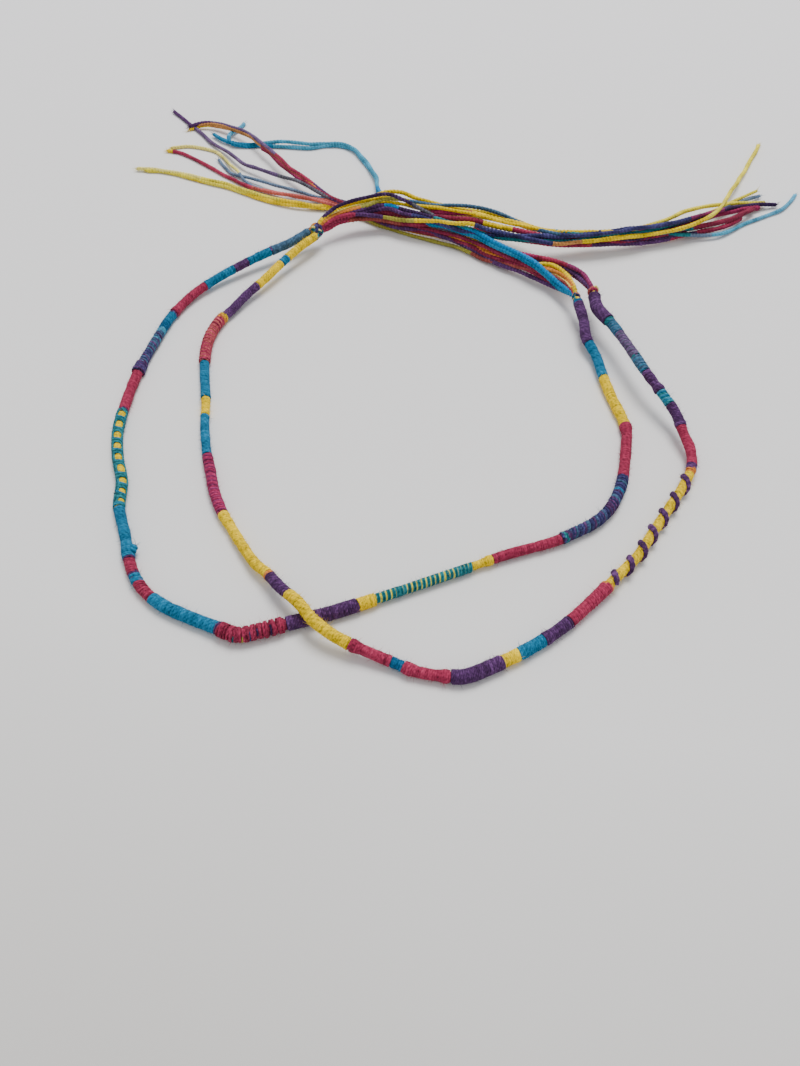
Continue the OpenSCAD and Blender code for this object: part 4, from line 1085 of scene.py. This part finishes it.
def knot_loop(skin, centre, radius, tilt, heading, start, sweep, diameter, colour, rng):
    """One thread drawn round a knot, with both ends tucked into it."""
    angle = np.radians(start + np.linspace(0, sweep, LOOP_STEPS))[:, None]
    a, b = math.radians(heading), math.radians(tilt)
    first = np.array([math.cos(a), math.sin(a), 0.0])
    second = np.array([-math.sin(a) * math.cos(b), math.cos(a) * math.cos(b), math.sin(b)])
    ends = np.minimum(np.linspace(0, 5, LOOP_STEPS), np.linspace(5, 0, LOOP_STEPS))
    tuck = np.clip(ends, 0.35, 1)[:, None]
    centre = np.array(centre)
    path = centre + (first * np.cos(angle) + second * np.sin(angle)) * radius * (0.4 + 0.6 * tuck)
    run = unit(np.gradient(path, axis=0))
    shape = two_ply(Line(path).marks, LOOP_SIDES, pitch=1.9, full=1.06, dip=0.24)
    half = diameter / 2
    skin.tube(path, square(unit(path - centre), run), run, half, half, LOOP_SIDES, colour,
              rng.uniform(0.35, 0.65), shape)
    thread_fuzz(skin, path, diameter, [colour], rng, per_mm=6, longest=0.6)


# Each knot: place, diameter, seed, the strand ends that run into it (line, and whether at its start), and
# the threads drawn round it: share of its radius, tilt, heading, start, sweep, thread's diameter, colour
KNOTS = {
    "shared_knot": (SHARED_KNOT, 2.5, 5, [(OUTER, True), (INNER, True)], [
        (0.62, 80, 20, -40, 300, 0.85, "navy"), (0.66, 60, 75, 20, 300, 0.85, "olive"),
        (0.7, 110, 130, -60, 290, 0.8, "dark_purple"), (0.72, 35, 160, 10, 260, 0.75, "dark_teal"),
        (0.78, 70, 40, -20, 240, 0.66, "orange"), (0.8, 95, 100, 60, 250, 0.75, "navy"),
        (0.74, 20, 10, 150, 220, 0.7, "purple"), (0.45, 45, 45, 0, 340, 0.8, "crimson"),
        (0.76, 50, 110, 90, 230, 0.6, "teal"), (0.8, 60, 150, 40, 150, 0.55, "pale_yellow"),
    ]),
    "outer_end_knot": (OUTER_END_KNOT, 1.6, 6, [(OUTER, False)], [
        (0.5, 85, 5, -40, 330, 0.5, "deep_blue"), (0.55, 80, 175, 20, 330, 0.46, "navy"),
        (0.6, 75, 20, 0, 280, 0.42, "deep_blue"), (0.6, 95, 165, -30, 240, 0.4, "orange"),
        (0.35, 30, 45, 0, 330, 0.5, "navy"), (0.55, 100, 10, 90, 200, 0.36, "olive"),
    ]),
    "inner_end_knot": (INNER_END_KNOT, 1.6, 7, [(INNER, False)], [
        (0.6, 85, 5, -40, 330, 0.62, "red"), (0.7, 80, 175, 20, 330, 0.6, "red"),
        (0.76, 75, 20, 0, 280, 0.5, "orange_red"), (1.1, 80, 20, -60, 150, 0.36, "pale_yellow"),
        (0.35, 30, 45, 0, 330, 0.6, "purple"), (0.8, 60, 110, 60, 200, 0.5, "crimson"),
    ]),
}
NECK_COLOURS = ["crimson", "navy", "yellow", "teal", "purple", "red", "blue"]
NECK_THREAD = 0.5
# How far they lie from the strand's middle: under the last turns, and at its end
NECK_RADII = [[0.3], [0.42]]


def make_neck(skin, centre, line, from_start, rng):
    """Threads of a strand that run from under its last turns into the knot."""
    s = np.array([1.0, 0.0] if from_start else [line.length - 1.0, line.length])
    _, side, top = line.frames(s)
    for k, colour in enumerate(NECK_COLOURS):
        angle = FULL_TURN * k / len(NECK_COLOURS) + rng.uniform(-0.2, 0.2)
        out = (side * math.cos(angle) + top * math.sin(angle)) * np.array(NECK_RADII)
        end = np.array(centre) + rng.normal(scale=0.2, size=3)
        path = smooth(np.vstack([line.at(s) + out, [end]]), 6)
        bare_thread(skin, path, NECK_THREAD, colour, rng, sides=8)


def make_knots():
    for node, (centre, diameter, seed, ends, loops) in KNOTS.items():
        rng = np.random.default_rng(seed)
        skin = Skin()
        for line, from_start in ends:
            make_neck(skin, centre, line, from_start, rng)
        for share, *rest in loops:
            knot_loop(skin, centre, diameter / 2 * share, *rest, rng)
        skin.piece(node + "_threads", node, "knot_threads")


# The pale surface: half its side in metres, and its painted shade, as colours near the viewer, half way and
# far off
FLOOR_HALF = 3.0
FLOOR_SHADE_COLOURS = [(0.6, 0.58, 0.55), (0.81, 0.796, 0.782), (0.815, 0.8, 0.806)]
# How they blend: share at the middle of the bracelet, change per metre away from the viewer and to the
# right, the weight and fineness of the grain, and the share at which it is half way
FLOOR_START = 0.36
FLOOR_AWAY = 4.4
FLOOR_RIGHT = 1.1
FLOOR_GRAIN = 0.1
GRAIN_SCALE = 14.0
FLOOR_MIDDLE = 0.24


def make_floor():
    material, tree, shader = new_material("pale_surface", {"Roughness": 0.9, "Specular IOR Level": 0.1})
    place = tree.nodes.new("ShaderNodeTexCoord")
    grain = noise(tree, place.outputs["Object"], GRAIN_SCALE, 2.0)
    parts = tree.nodes.new("ShaderNodeSeparateXYZ")
    link(tree, (place.outputs["Object"], parts.inputs["Vector"]))
    # Painted shade: the surface is coloured darker towards the viewer and to the left, where the window's
    # light falls off
    painted_falloff = number(tree, "MULTIPLY_ADD", parts.outputs["Y"], FLOOR_AWAY, FLOOR_START)
    painted_falloff = number(tree, "MULTIPLY_ADD", parts.outputs["X"], FLOOR_RIGHT, painted_falloff)
    painted_falloff = number(tree, "MULTIPLY_ADD", grain, FLOOR_GRAIN, painted_falloff)
    ramp(tree, painted_falloff, FLOOR_SHADE_COLOURS, FLOOR_MIDDLE, shader)
    mesh = bpy.data.meshes.new("surface")
    corners = [(x * FLOOR_HALF, y * FLOOR_HALF, 0) for x, y in ((-1, -1), (1, -1), (1, 1), (-1, 1))]
    mesh.from_pydata(corners, [], [(0, 1, 2, 3)])
    mesh.materials.append(material)
    add_object("surface", mesh)


# A soft window from behind, and the dim light of the room
WINDOW_PLACE = (0.12, 0.5, 0.9)
WINDOW_SIZE = 0.55
WINDOW_POWER = 11.3
ROOM_COLOUR = (0.96, 0.97, 1.0, 1)
ROOM_STRENGTH = 0.72


def make_lights():
    world = bpy.data.worlds.new("soft_room")
    world.use_nodes = True
    world.node_tree.nodes["Background"].inputs["Color"].default_value = ROOM_COLOUR
    world.node_tree.nodes["Background"].inputs["Strength"].default_value = ROOM_STRENGTH
    bpy.context.scene.world = world
    data = bpy.data.lights.new("window", "AREA")
    data.shape = "DISK"
    data.size = WINDOW_SIZE
    data.energy = WINDOW_POWER
    made = add_object("window", data)
    made.location = WINDOW_PLACE
    way = -np.array(WINDOW_PLACE)
    made.rotation_euler = (math.acos(-way[2] / np.linalg.norm(way)), 0, math.atan2(-way[0], way[1]))


make_camera()
make_tails()
make_strand("outer", OUTER_WRAPS, OUTER, first_seed=100)
make_strand("inner", INNER_WRAPS, INNER, first_seed=200)
make_spiral()
make_knots()
make_floor()
make_lights()
